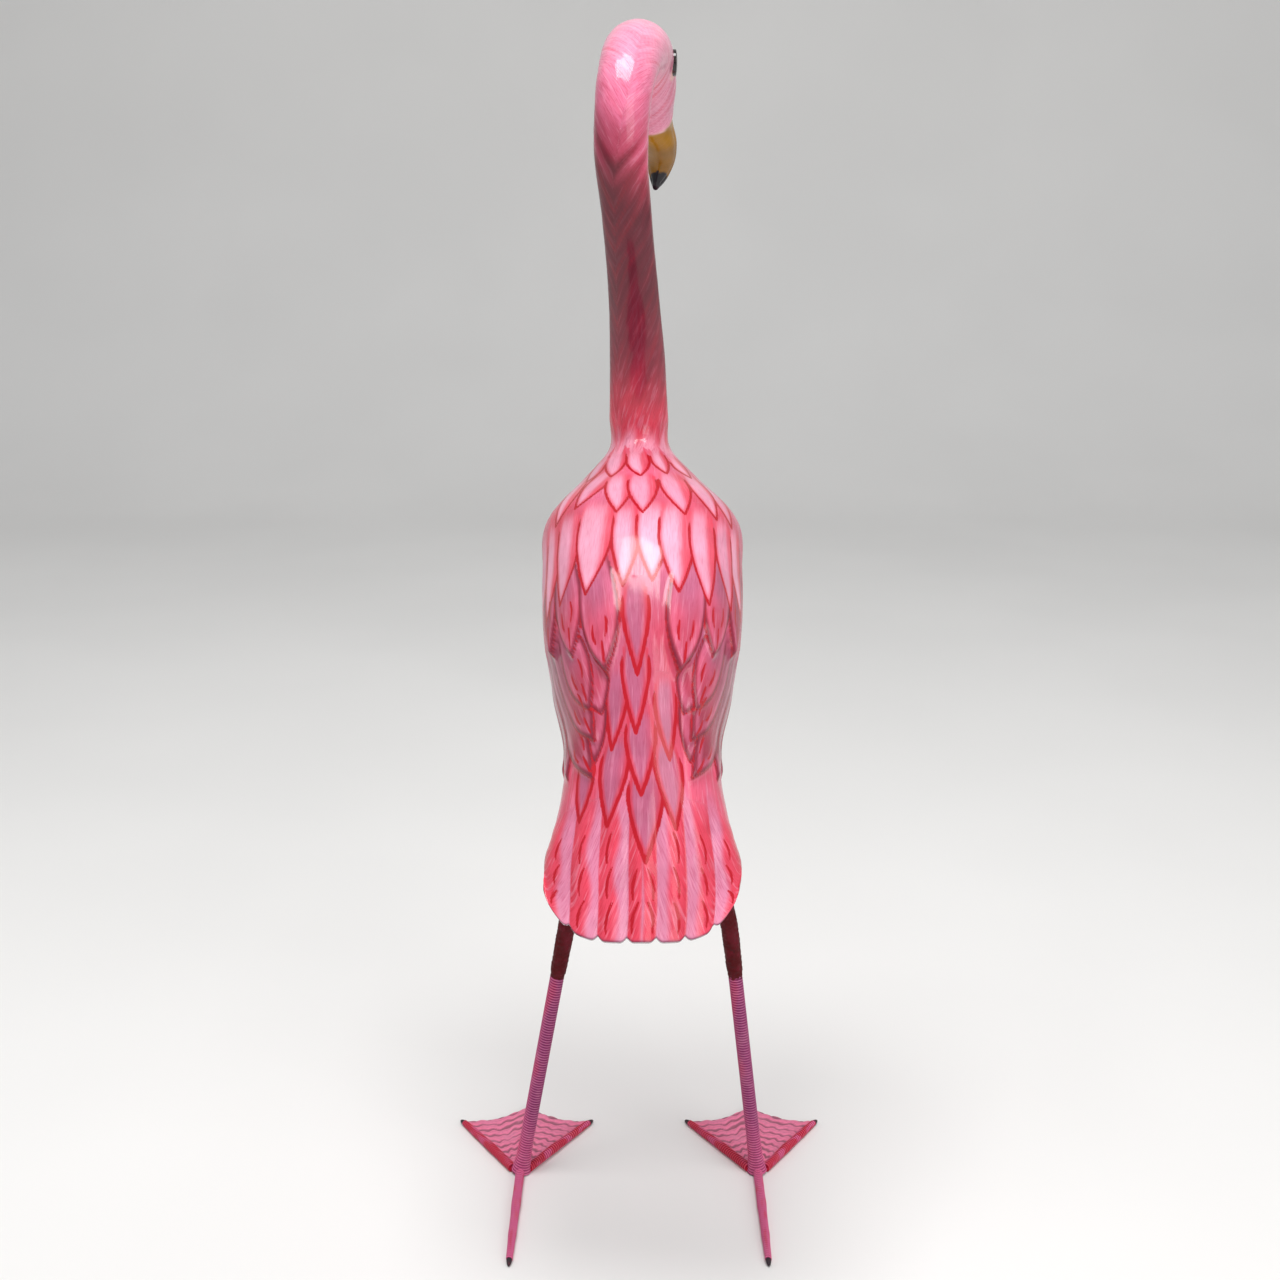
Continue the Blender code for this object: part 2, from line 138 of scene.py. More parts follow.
def ripple(x: Array, y: Array, seed: int, waves: int = 7) -> Array:
    """Wandering value between about -1 and 1: a sum of sine waves of turned directions and close
    frequencies, divided by the square root of their number.

    Args:
        x: First coordinate, in turns of about one wave.
        y: Second coordinate, in the same measure.
        seed: Number that picks the directions and phases.
        waves: How many waves are summed.

    Returns:
        The value at each place.
    """
    random = np.random.default_rng(seed)
    total = np.zeros(np.broadcast(x, y).shape)
    for _ in range(waves):
        turn, phase = random.uniform(0, 2 * math.pi, 2)
        rate = random.uniform(0.6, 1.5) * 2 * math.pi
        total = total + np.sin(rate * (x * math.cos(turn) + y * math.sin(turn)) + phase)
    return total / math.sqrt(waves)


def washes(ground: Colour, shape: tuple, *layers: tuple[Colour, Array]) -> Array:
    """Grid of one paint under thin layers of others, each a paint and how much of it covers what
    lies below, between 0 and 1."""
    colour = np.broadcast_to(ground.linear, shape + (4,))
    for paint, amount in layers:
        colour = colour + (paint.linear - colour) * np.clip(amount, 0, 1)[..., None]
    return colour


def turns(columns: int) -> Array:
    """Even steps of angle round a circle."""
    return np.linspace(0, 2 * np.pi, columns, endpoint=False)


@dataclass
class Shell:
    """One closed skin: its points and faces, and the values that its material reads.

    The grain holds the distance along the brush stroke, the distance across it, and a number
    that differs from feather to feather. Ink is the distance to the nearest painted line. All
    three distances are in millimetres.
    """

    points: Array
    faces: list[Array]
    paint: Array
    grain: Array
    ink: Array
    finish: int = 0


def grid_faces(rows: int, columns: int, first: int = 0, ring: bool = True) -> Array:
    """Four-sided faces of a grid of points.

    Args:
        rows: Number of rows of points.
        columns: Number of points in a row.
        first: Number of the grid's first point in the mesh.
        ring: True if the last column joins the first one.

    Returns:
        One row of four point numbers for each face.
    """
    a = np.arange(rows - 1)[:, None] * columns
    i = np.arange(columns if ring else columns - 1)[None, :]
    j = (i + 1) % columns
    quads = np.stack([a + i, a + j, a + columns + j, a + columns + i], axis=-1)
    return quads.reshape(-1, 4) + first


def fold_cap(start: int, count: int, turned: bool) -> list[Array]:
    """Faces that close a ring of points which mirror each other over the section's middle line.

    Args:
        start: Number of the ring's first point, which lies under the belly.
        count: Number of points in the ring.
        turned: True if the faces must look the other way.

    Returns:
        The two end triangles and the four-sided faces between them.
    """
    i = np.arange(count // 4, 3 * count // 4)
    quads = np.stack([i, i + 1, (count // 2 - i - 1) % count, (count // 2 - i) % count], axis=-1)
    first, last = quads[:1, [0, 1, 2]], quads[-1:, [0, 1, 3]]
    caps = [first, quads[1:-1], last]
    return [(cap[:, ::-1] if turned else cap) + start for cap in caps]


def revolve(centres: Array, radii: Array, across: Array, over: Array) -> Array:
    """Tube of points: each centre plus its radius times a unit circle in the plane of the two
    directions. The radii are a grid of one row per centre and one column per angle."""
    angle = turns(radii.shape[1])
    circle = (np.cos(angle)[None, :, None] * across[:, None, :]
              + np.sin(angle)[None, :, None] * over[:, None, :])
    return centres[:, None, :] + radii[..., None] * circle


def tube_frames(centres: Array, reference: Array) -> tuple[Array, Array]:
    """Two directions square to a path at each of its points: the reference made square to the
    path, and the one square to both."""
    run = np.gradient(centres, axis=0)
    run = run / np.linalg.norm(run, axis=1, keepdims=True)
    across = reference - run * (run @ reference)[:, None]
    across = across / np.linalg.norm(across, axis=1, keepdims=True)
    return across, np.cross(run, across)


def tube_faces(rows: int, columns: int) -> list[Array]:
    """Faces of a tube with a flat end at each end."""
    ends = np.arange(columns)[None, :]
    return [grid_faces(rows, columns), ends[:, ::-1], ends + (rows - 1) * columns]


def build_mesh(name: str, shells: list[Shell], materials: list[bpy.types.Material]) -> bpy.types.Object:
    """Object made of closed skins, with the colour, grain and ink of each point as attributes.

    Args:
        name: Name of the piece.
        shells: Its skins.
        materials: Its finishes, in the order of the skins' finish numbers.

    Returns:
        The new object.
    """
    counts = np.cumsum([0] + [len(shell.points) for shell in shells])
    blocks = [(block + first, shell.finish)
              for shell, first in zip(shells, counts) for block in shell.faces]
    corners = np.concatenate([block.ravel() for block, _ in blocks])
    sides = np.concatenate([np.full(len(block), block.shape[1]) for block, _ in blocks])
    finish = np.concatenate([np.full(len(block), number) for block, number in blocks])

    mesh = bpy.data.meshes.new(name)
    mesh.vertices.add(int(counts[-1]))
    points = np.concatenate([shell.points for shell in shells])
    mesh.vertices.foreach_set("co", points.astype(np.float32).ravel())
    mesh.loops.add(len(corners))
    mesh.loops.foreach_set("vertex_index", corners.astype(np.int32))
    mesh.polygons.add(len(sides))
    mesh.polygons.foreach_set("loop_start", (np.cumsum(sides) - sides).astype(np.int32))
    mesh.polygons.foreach_set("material_index", finish.astype(np.int32))
    mesh.update(calc_edges=True)
    mesh.validate()
    values = (
        ("paint", "FLOAT_COLOR", "color", [s.paint for s in shells]),
        ("grain", "FLOAT_VECTOR", "vector", [s.grain for s in shells]),
        ("ink", "FLOAT", "value", [s.ink for s in shells]),
    )
    for title, kind, key, data in values:
        attribute = mesh.attributes.new(title, kind, "POINT")
        attribute.data.foreach_set(key, np.concatenate(data).astype(np.float32).ravel())
    for material in materials:
        mesh.materials.append(material)
    mesh.shade_smooth()
    mesh.set_sharp_from_angle(angle=SHARP_ANGLE)
    piece = bpy.data.objects.new(name, mesh)
    bpy.context.scene.collection.objects.link(piece)
    return piece


class Nodes:
    """Short way of adding shader nodes to a material."""

    def __init__(self, name: str) -> None:
        """Start a material with a Principled shader."""
        self.material = bpy.data.materials.new(name)
        self.material.use_nodes = True
        self.tree = self.material.node_tree
        self.shader = self.tree.nodes["Principled BSDF"]

    def add(self, kind: str, inputs: dict, **settings: object) -> bpy.types.Node:
        """Add a node.

        Args:
            kind: Blender's name of the node.
            inputs: Socket number or name to a value, or to another node's output.
            **settings: Properties of the node.

        Returns:
            The node.
        """
        node = self.tree.nodes.new(kind)
        for key, value in settings.items():
            setattr(node, key, value)
        for key, value in inputs.items():
            if isinstance(value, Socket):
                self.tree.links.new(value, node.inputs[key])
            else:
                paint = isinstance(value, Colour)
                node.inputs[key].default_value = tuple(value.linear) if paint else value
        return node

    def attribute(self, name: str) -> bpy.types.Node:
        """Node that reads one of the mesh's attributes."""
        return self.add("ShaderNodeAttribute", {}, attribute_name=name)

    def noise(self, vector: Socket, scale: float, detail: float) -> Socket:
        """Noise between about 0.3 and 0.7 over the vector."""
        inputs = {"Vector": vector, "Scale": scale, "Detail": detail}
        return self.add("ShaderNodeTexNoise", inputs).outputs["Fac"]

    def cloud(self, scale: float, detail: float) -> Socket:
        """Noise over the place on the object, in metres."""
        place = self.add("ShaderNodeTexCoord", {}).outputs["Object"]
        return self.noise(place, scale, detail)

    def stretch(self, vector: Socket, scale: tuple[float, float, float]) -> Socket:
        """The vector with each of its parts multiplied."""
        return self.add("ShaderNodeMapping", {"Vector": vector, "Scale": scale}).outputs[0]

    def span(self, value: Socket, low: float, high: float,
             to: tuple[float, float] = (0.0, 1.0)) -> Socket:
        """The value's range from low to high turned into another range, smoothly."""
        inputs = {"Value": value, "From Min": low, "From Max": high, "To Min": to[0], "To Max": to[1]}
        return self.add("ShaderNodeMapRange", inputs, interpolation_type="SMOOTHSTEP").outputs[0]

    def math(self, operation: str, first: Socket, second: Socket | float) -> Socket:
        """Sum, product or other operation on two values."""
        return self.add("ShaderNodeMath", {0: first, 1: second}, operation=operation).outputs[0]

    def mix(self, amount: Socket | float, first: Socket | Colour, second: Socket | Colour | tuple,
            mode: str = "MIX") -> Socket:
        """Mix of two colours by an amount."""
        inputs = {0: amount, 6: first, 7: second}
        return self.add("ShaderNodeMix", inputs, data_type="RGBA", blend_type=mode).outputs[2]

    def shade(self, colour: Socket | Colour, noise: Socket, to: tuple[float, float]) -> Socket:
        """The colour made darker and lighter over a noise, from one factor to another."""
        tone = self.span(noise, *NOISE_SPAN, to)
        grey = self.add("ShaderNodeCombineColor", {0: tone, 1: tone, 2: tone}).outputs[0]
        return self.mix(1.0, colour, grey, "MULTIPLY")

    def bump(self, height: Socket, distance: float, strength: float) -> None:
        """Small relief on the shader, in metres."""
        inputs = {"Height": height, "Distance": distance, "Strength": strength}
        self.link(self.add("ShaderNodeBump", inputs).outputs[0], "Normal")

    def set(self, **values: float) -> None:
        """Constant values on the shader's own sockets, named with underscores for spaces."""
        for key, value in values.items():
            self.shader.inputs[key.replace("_", " ")].default_value = value

    def link(self, socket: Socket, name: str) -> None:
        """Join a value to one of the shader's sockets."""
        self.tree.links.new(socket, self.shader.inputs[name])


@dataclass(frozen=True)
class Finish:
    """What the finishes share: a roughness that follows a noise round its middle value, fine
    relief in metres, and a clear coat. Each kind of finish adds its colour."""

    name: str
    roughness: float
    spread: tuple[float, float] = (-0.1, 0.1)
    relief: float = 0.0003
    relief_strength: float = 0.6
    coat: float = 0.05
    coat_roughness: float = 0.3
    coat_ior: float = 1.5
    specular: float = 0.5

    def layers(self, nodes: Nodes) -> tuple[Socket, Socket, Socket]:
        """Colour, noise of the roughness and height of the relief."""
        raise NotImplementedError

    def build(self) -> bpy.types.Material:
        """Make the material."""
        nodes = Nodes(self.name)
        colour, noise, height = self.layers(nodes)
        nodes.link(colour, "Base Color")
        to = (self.roughness + self.spread[0], self.roughness + self.spread[1])
        nodes.link(nodes.span(noise, *NOISE_SPAN, to), "Roughness")
        nodes.bump(height, self.relief, self.relief_strength)
        nodes.set(Coat_Weight=self.coat, Coat_Roughness=self.coat_roughness, Coat_IOR=self.coat_ior,
                  Specular_IOR_Level=self.specular)
        return nodes.material


@dataclass(frozen=True)
class BrushedPaint(Finish):
    """Varnished paint laid on carved wood with a small brush: streaks along each feather, fine
    painted lines, and a clear coat whose gloss the strokes break up."""

    name: str = "painted_wood"
    roughness: float = 0.4
    spread: tuple[float, float] = (-0.1, 0.12)
    relief: float = 0.00018
    relief_strength: float = 0.9
    coat: float = 0.7
    coat_roughness: float = 0.13
    coat_ior: float = 1.48
    specular: float = 0.15
    stroke_scale: tuple[float, float, float] = (0.11, 1.5, 3.7)
    light_streaks: float = 0.34
    dark_streaks: float = 0.6
    streak_shade: tuple[float, float, float, float] = (0.72, 0.34, 0.44, 1.0)
    line_width: float = 0.86
    line_core: float = 0.42
    line_wobble: float = 0.16
    line_height: float = 0.5
    broad_scale: float = 0.55
    fine_scale: float = 1.7
    cloud_scale: float = 95.0
    cloud_shades: tuple[float, float] = (0.92, 1.06)

    def layers(self, nodes: Nodes) -> tuple[Socket, Socket, Socket]:
        """Light and dark streaks over the paint, a soft cloud, and the painted lines on top."""
        paint, grain = nodes.attribute("paint"), nodes.attribute("grain")
        plain = paint.outputs["Color"]
        ink = nodes.attribute("ink").outputs["Fac"]
        flow = nodes.stretch(grain.outputs["Vector"], self.stroke_scale)
        broad, fine = nodes.noise(flow, self.broad_scale, 2.0), nodes.noise(flow, self.fine_scale, 3.0)
        red = nodes.add("ShaderNodeSeparateColor", {0: plain}).outputs[0]
        light = nodes.math("MULTIPLY", nodes.span(broad, 0.52, 0.66, (0.0, self.light_streaks)),
                           nodes.span(red, 0.05, 0.6, (0.12, 1.0)))
        colour = nodes.mix(light, plain, Colour.PALE)
        dark = nodes.span(fine, 0.5, 0.36, (0.0, self.dark_streaks))
        colour = nodes.mix(dark, colour, self.streak_shade, "MULTIPLY")
        colour = nodes.mix(paint.outputs["Alpha"], plain, colour)
        colour = nodes.shade(colour, nodes.cloud(self.cloud_scale, 2.0), self.cloud_shades)
        wobble = nodes.span(fine, *NOISE_SPAN, (-self.line_wobble, self.line_wobble))
        line = nodes.span(nodes.math("ADD", ink, wobble), self.line_width, self.line_core)
        height = nodes.math("ADD", nodes.math("MULTIPLY", fine, paint.outputs["Alpha"]),
                            nodes.math("MULTIPLY", line, self.line_height))
        return nodes.mix(line, colour, Colour.CRIMSON), fine, height


@dataclass(frozen=True)
class BoundThread(Finish):
    """Painted thread wound on wire: soft satin with fibres along the winding."""

    name: str = "painted_binding"
    roughness: float = 0.55
    relief: float = 0.00025
    relief_strength: float = 0.7
    specular: float = 0.1
    fibre_scale: tuple[float, float, float] = (2.2, 0.5, 1.0)
    cloud_scale: float = 160.0

    def layers(self, nodes: Nodes) -> tuple[Socket, Socket, Socket]:
        """Worn pale patches, dark fibres, painted shade in the grooves between the turns and a
        painted highlight on their crests.
        """
        ink = nodes.attribute("ink").outputs["Fac"]
        flow = nodes.stretch(nodes.attribute("grain").outputs["Vector"], self.fibre_scale)
        fibre, cloud = nodes.noise(flow, 2.0, 3.0), nodes.cloud(self.cloud_scale, 3.0)
        colour = nodes.attribute("paint").outputs["Color"]
        for noise, low, high, most, paint in (
                (cloud, 0.5, 0.75, 0.16, Colour.PALE), (fibre, 0.5, 0.3, 0.5, Colour.GROOVE),
                # painted shade in the grooves of the winding, and painted highlight on its crests
                (ink, 0.75, 0.3, 0.6, Colour.GROOVE), (ink, 0.85, 0.98, 0.3, Colour.PALE)):
            colour = nodes.mix(nodes.span(noise, low, high, (0.0, most)), colour, paint)
        return colour, cloud, fibre


@dataclass(frozen=True)
class RoughCoat(Finish):
    """Dark red coat daubed thickly on the thigh: grainy, with worn lighter flecks."""

    name: str = "thigh_coat"
    roughness: float = 0.62
    spread: tuple[float, float] = (-0.15, 0.15)
    coat_roughness: float = 0.35
    specular: float = 0.15
    grit_scale: float = 900.0
    patch_scale: float = 240.0

    def layers(self, nodes: Nodes) -> tuple[Socket, Socket, Socket]:
        """Lighter worn patches, and dark specks in the hollows of the grit."""
        grit, patch = nodes.cloud(self.grit_scale, 4.0), nodes.cloud(self.patch_scale, 3.0)
        colour = nodes.attribute("paint").outputs["Color"]
        colour = nodes.mix(nodes.span(patch, 0.5, 0.75, (0.0, 0.3)), colour, Colour.ROSE)
        colour = nodes.mix(nodes.span(grit, 0.45, 0.3, (0.0, 0.3)), colour, Colour.BILL_BLACK)
        return colour, grit, nodes.math("ADD", grit, patch)


@dataclass(frozen=True)
class GlossyBead(Finish):
    """Dark polished bead with a brown cast that deepens in patches, under a hard clear coat."""

    name: str = "eye_bead"
    roughness: float = 0.12
    spread: tuple[float, float] = (-0.04, 0.06)
    relief: float = 0.00004
    relief_strength: float = 0.4
    coat: float = 0.5
    coat_roughness: float = 0.1
    coat_ior: float = 1.45
    cast: float = 0.2
    cloud_scale: float = 420.0

    def layers(self, nodes: Nodes) -> tuple[Socket, Socket, Socket]:
        """The bead's paint with patches of a dim brown."""
        cloud = nodes.cloud(self.cloud_scale, 3.0)
        brown = tuple(Colour.OCHRE.linear * self.cast)
        paint = nodes.attribute("paint").outputs["Color"]
        return nodes.mix(nodes.span(cloud, 0.45, 0.65, (0.0, 0.3)), paint, brown), cloud, cloud


class Style(Enum):
    """How a feather is painted: a scale with a red outline, a pointed feather of the strip down
    the middle, a long carved wing feather, or a soft feather of breast and flank. The values are
    how much thinner its outline is drawn, in millimetres, and the strength of its streaks."""

    SCALE = (0.05, 0.5)
    STRIP = (-0.1, 0.5)
    WING = (0.36, 0.5)
    BREAST = (0.36, 0.7)


@dataclass(frozen=True)
class Feather:
    """One feather, laid out on the skin in millimetres: the distance round the body from the
    middle of the back, towards the bird's left, and the distance up the back from the tail end."""

    root: tuple[float, float]
    tip: tuple[float, float]
    half_width: float
    style: Style
    belly: float = 0.45
    point: float = 1.7

    @property
    def length(self) -> float:
        """Distance from root to tip."""
        return math.hypot(*np.subtract(self.tip, self.root))

    def place(self, across: Array, along: Array) -> tuple[Array, Array, Array]:
        """Where each place lies on the feather.

        The feather is a leaf: its half width swells to the belly as a parabola, then falls to
        the tip as one less the distance past the belly raised to a power.

        Args:
            across: Distance round the body of each place.
            along: Distance up the back of each place.

        Returns:
            The share of its length, the distance to the bird's right of its middle line, and how
            far inside its outline each place lies.
        """
        length = self.length
        axis = np.subtract(self.tip, self.root)
        run = axis / length
        lengthwise = ((across - self.root[0]) * run[0] + (along - self.root[1]) * run[1]) / length
        sideways = (across - self.root[0]) * run[1] - (along - self.root[1]) * run[0]
        past = np.clip((lengthwise - self.belly) / (1 - self.belly), 0, 1)
        before = np.clip(1 - lengthwise / self.belly, 0, 1)
        reach = self.half_width * (1 - past**self.point - 0.35 * before**2)
        slope = self.half_width * self.point * past ** (self.point - 1) / (length * (1 - self.belly))
        inside = (reach - np.abs(sideways)) / np.hypot(1, slope)
        beyond = -np.hypot((lengthwise - 1) * length, sideways)
        inside = np.where(lengthwise > 1, np.minimum(beyond, inside), inside)
        inside = np.where(lengthwise < 0, -FAR, inside)
        return lengthwise, sideways, inside


def leaves(rows: tuple, style: Style, sides: tuple[int, ...] = (1, -1), **shape: float) -> list[Feather]:
    """Feathers from rows of root across, root along, tip across, tip along and half width, on
    both sides of the bird or only as the rows say."""
    return [Feather((side * r[0], r[1]), (side * r[2], r[3]), r[4], style, **shape)
            for r in rows for side in sides]


def stroke_distance(across: Array, along: Array, start: Array, end: Array, bow: float) -> Array:
    """Distance to a short curved brush stroke that thins towards both ends.

    The stroke is a parabola over its chord; to the distance from it comes 0.2 mm times the square
    of the distance from its middle, so that the painted line narrows.

    Args:
        across: Distance round the body of each place.
        along: Distance up the back of each place.
        start: The stroke's upper end.
        end: Its lower end.
        bow: How far its middle stands off the chord.

    Returns:
        The distance in millimetres.
    """
    axis = np.subtract(end, start)
    length = math.hypot(*axis)
    t = ((across - start[0]) * axis[0] + (along - start[1]) * axis[1]) / length**2
    off = ((across - start[0]) * axis[1] - (along - start[1]) * axis[0]) / length
    inner = np.clip(t, 0, 1)
    off = off - bow * 4 * inner * (1 - inner)
    return np.hypot(off, (t - inner) * length) + 0.2 * (2 * inner - 1) ** 2


@dataclass
class Skin:
    """Grid of places along one stretch of the bird, one row per ring, and what is painted there.

    Across is the distance round the body from the middle of the back, along the distance up the
    back, and width the half width of the section, in millimetres. Row is the number of the
    profile row, and angle the angle round the section. The paint's alpha is the strength of the
    streaks; grain and ink are those of a shell.
    """

    across: Array
    along: Array
    row: Array
    angle: Array
    width: Array
    paint: Array = field(init=False)
    grain: Array = field(init=False)
    ink: Array = field(init=False)

    def __post_init__(self) -> None:
        """Start with a mottled ground whose streaks run up the back, and no painted line."""
        cloud = ripple(self.across * 0.02, self.along * 0.02, Seed.GROUND)
        self.paint = washes(Colour.BLUSH, self.across.shape, (Colour.CORAL, 0.6 + 0.25 * cloud),
                            (Colour.ROSE, 0.3 * window(self.along, (55, 90), (150, 200))))
        self.paint[..., 3] = 0.75
        self.grain = np.stack([self.along, self.across, 0 * self.across], axis=-1)
        self.ink = np.full(self.across.shape, FAR)

    def lay(self, colour: Array, amount: Array) -> None:
        """Cover the paint with a colour, by an amount between 0 and 1 at each place."""
        self.paint[..., :3] += (colour - self.paint)[..., :3] * amount[..., None]


@dataclass
class Carving:
    """The carved bird: body, wings, tail, neck, head and bill as one skin, lofted from the tail
    end to the tip of the bill, with its carved and painted feathers."""

    origin: Array
    height: float = 500.0
    body_rings: int = 250
    neck_rings: int = 220
    body_columns: int = 272
    feather_lift: float = 0.6
    feather_step: float = 0.22
    feather_slope: float = 2.4
    feather_crown: float = 0.8
    flank_depth: float = 2.2
    rump_depth: float = 1.6
    tail_flute: float = 1.5
    tail_notch: float = 2.0
    tail_feathers: int = 7
    carved_edge: float = 2.4
    rump_edge: float = 18.0
    wing_lower_edge: float = 64.0
    flank_edge: float = 94.0
    shoulder_row: float = 11.0
    bill_row: float = 21.75
    black_row: float = 24.9
    eye_row: float = 20.1
    rail_samples: int = 24
    gouge_depth: float = 0.11
    tail_round: float = 0.04
    tail_run: tuple[float, float, float] = (0.0, 39.2, -54.8)
    bill_slant: float = 0.3
    mouth_angle: float = 1.85
    nostril_angle: float = 1.2
    nostril_row: float = 22.9
    stroke_offset: float = 0.05
    breast_pitch: int = 17
    breast_start: tuple[int, int] = (72, 52)
    breast_top: int = 205
    breast_columns: int = 8
    breast_length: float = 30.0
    breast_half_width: float = 8.6
    profile: tuple = (
        (231, 351, 223, 346, 74, -1, 14),
        (221, 368, 206, 355, 75, -2, 16),
        (202, 398, 172, 364, 75, -2, 14),
        (183, 434, 132, 370, 70, -2, 10),
        (168, 468, 88, 378, 63, -2, 5),
        (153, 502, 40, 390, 61, -2, 0),
        (132, 542, -16, 414, 74, -2, 0),
        (104, 582, -66, 452, 83, -2, 0),
        (66, 620, -102, 502, 85, -2, 0),
        (24, 646, -120, 556, 81, -2, 0),
        (-14, 661, -124, 604, 51, -1, 0),
        (-36, 677, -112, 646, 27, 0, 0),
        (-40, 700, -90, 684, 25, 1, 0),
        (-20, 748, -66, 732, 23, 2, 0),
        (20, 804, -22, 788, 20, 5, 0),
        (58, 860, 18, 852, 19, 10, 0),
        (75, 904, 35, 902, 20, 14, 0),
        (67, 950, 27, 932, 21, 12, 0),
        (36, 985, 10, 948, 23, 7, 0),
        (-6, 1000, -10, 954, 25, 2, 0),
        (-50, 999, -31, 948, 26, -1, 0),
        (-86, 979, -46, 934, 25, -4, 0),
        (-107, 946, -58, 920, 20, -7, 0),
        (-116, 922, -70, 908, 16, -15, 0),
        (-115, 900, -82, 898, 12, -17, 0),
        (-103, 882, -85, 890, 7, -15, 0),
        (-91, 877, -86, 883, 3, -13, 0),
    )
    wing_rows: tuple = (
        (66, 125, 50, 75, 8.5), (63, 125, 35, 67, 8.5), (57, 125, 19, 61.5, 8.5), (49, 125, 19, 76, 8),
        (40, 128, 21, 88, 8), (54, 160, 47, 116, 8.5), (38, 156, 30, 110, 8.5), (21, 152, 14, 100, 8.5),
    )
    inner_coverts: tuple = ((25, 112, 19, 68, 6.5), (27, 126, 17.5, 86, 8))
    strip_feathers: tuple = (
        (-1, 66, -1, 28.5, 6.5), (-9, 76, -12.5, 41.5, 5.5), (10, 78, 13.4, 42.7, 5.8),
        (23, 74, 25.2, 46.3, 4.5), (1, 88, 0.6, 53.3, 6.0), (-9, 100, -10.5, 67.6, 4.8),
        (10, 104, 12.5, 71.8, 5.0), (3, 114, 2.7, 77, 5.6), (3, 138, 2.1, 99, 5.2),
    )
    scales: tuple = (
        (54, 176, 61, 130, 6), (44, 176, 50, 130, 6.2), (32, 178, 38.3, 133, 7.0),
        (18, 180, 23.4, 133, 8.4), (6, 176, 7.7, 134, 5.6), (-4, 178, -3.7, 136, 6.4),
        (-14, 178, -13.9, 132, 7.6), (-25, 178, -27.9, 130, 6.8), (-47, 176, -54, 132, 6),
        (-37, 176, -43, 133, 6.2),
        (26, 205, 43, 172, 5.4), (-28, 205, -45, 172, 5.4), (12, 202, 30, 177, 5.2),
        (9, 198, 10.5, 170, 5.8), (0, 198, 0, 169, 6.0), (-11, 200, -17.4, 170, 6.4),
        (-20, 204, -33.8, 172, 5.6),
        (10, 216, 13, 195, 5.0), (2, 214, 0.6, 194, 4.8), (-6, 214, -10.5, 197, 3.8),
        (18, 212, 26, 196, 4.4), (-14, 212, -22.9, 198, 4.2),
    )

    def rails(self) -> tuple[Array, Array]:
        """Profile rows joined by smooth curves.

        Between two rows each value is a cubic with the rows' values and slopes, where a row's
        slope is the mean of the slopes on both sides, each weighted by the other side's length.

        Returns:
            The row number and the seven values of each sample, in millimetres.
        """
        rows = np.array(self.profile, dtype=float) * self.height / 1000
        middle = (rows[:, 0:2] + rows[:, 2:4]) / 2
        knots = np.concatenate([[0], np.cumsum(np.linalg.norm(np.diff(middle, axis=0), axis=1))])
        gaps = np.diff(knots)[:, None]
        slopes = np.diff(rows, axis=0) / gaps
        inner = (slopes[:-1] * gaps[1:] + slopes[1:] * gaps[:-1]) / (gaps[:-1] + gaps[1:])
        tangents = np.vstack([slopes[:1], inner, slopes[-1:]])
        number = np.linspace(0, len(rows) - 1, (len(rows) - 1) * self.rail_samples + 1)
        low = np.minimum(number.astype(int), len(rows) - 2)
        t = (number - low)[:, None]
        curve = ((2 * t**3 - 3 * t**2 + 1) * rows[low]
                 + (t**3 - 2 * t**2 + t) * gaps[low] * tangents[low]
                 + (3 * t**2 - 2 * t**3) * rows[low + 1]
                 + (t**3 - t**2) * gaps[low] * tangents[low + 1])
        return number, curve

    def angles(self, along: Array, columns: int) -> Array:
        """Angle of each column round each ring, from -pi under the belly to pi.

        On the tail the columns are even steps of width; on the body two thirds of them lie on the
        back; on the neck they are even steps of angle.

        Args:
            along: Distance up the back of each ring.
            columns: Number of columns.

        Returns:
            One row of angles for each ring.
        """
        turn = np.arange(columns) / columns
        tail = np.where(turn < 0.25, np.arcsin(np.clip(4 * turn, 0, 1)) - np.pi,
                        np.arcsin(np.clip(4 * turn - 2, -1, 1)))
        tail = np.where(turn > 0.75, np.pi - np.arcsin(np.clip(4 - 4 * turn, 0, 1)), tail)
        body = np.interp(turn, [0, 0.16, 0.84, 1], [-np.pi, -np.pi / 2, np.pi / 2, np.pi])
        neck = -np.pi + 2 * np.pi * turn
        to_body = band(along, 45, 90)[:, None]
        to_neck = band(along, 165, 212)[:, None]
        return (tail * (1 - to_body) + body * to_body) * (1 - to_neck) + neck * to_neck

    def tail_place(self, sine: Array) -> tuple[Array, Array]:
        """Number of the tail feather at each share of the half width, and the place across that
        feather from -1 to 1."""
        feather = (sine + 1) / 2 * self.tail_feathers
        number = np.floor(np.clip(feather, 0, self.tail_feathers - 1e-6))
        return number, 2 * (feather - number) - 1

    def past_bill(self, skin: Skin) -> Array:
        """Profile rows past the line where the bill starts, which slants down from brow to chin."""
        return skin.row - self.bill_row + self.bill_slant * np.cos(skin.angle)

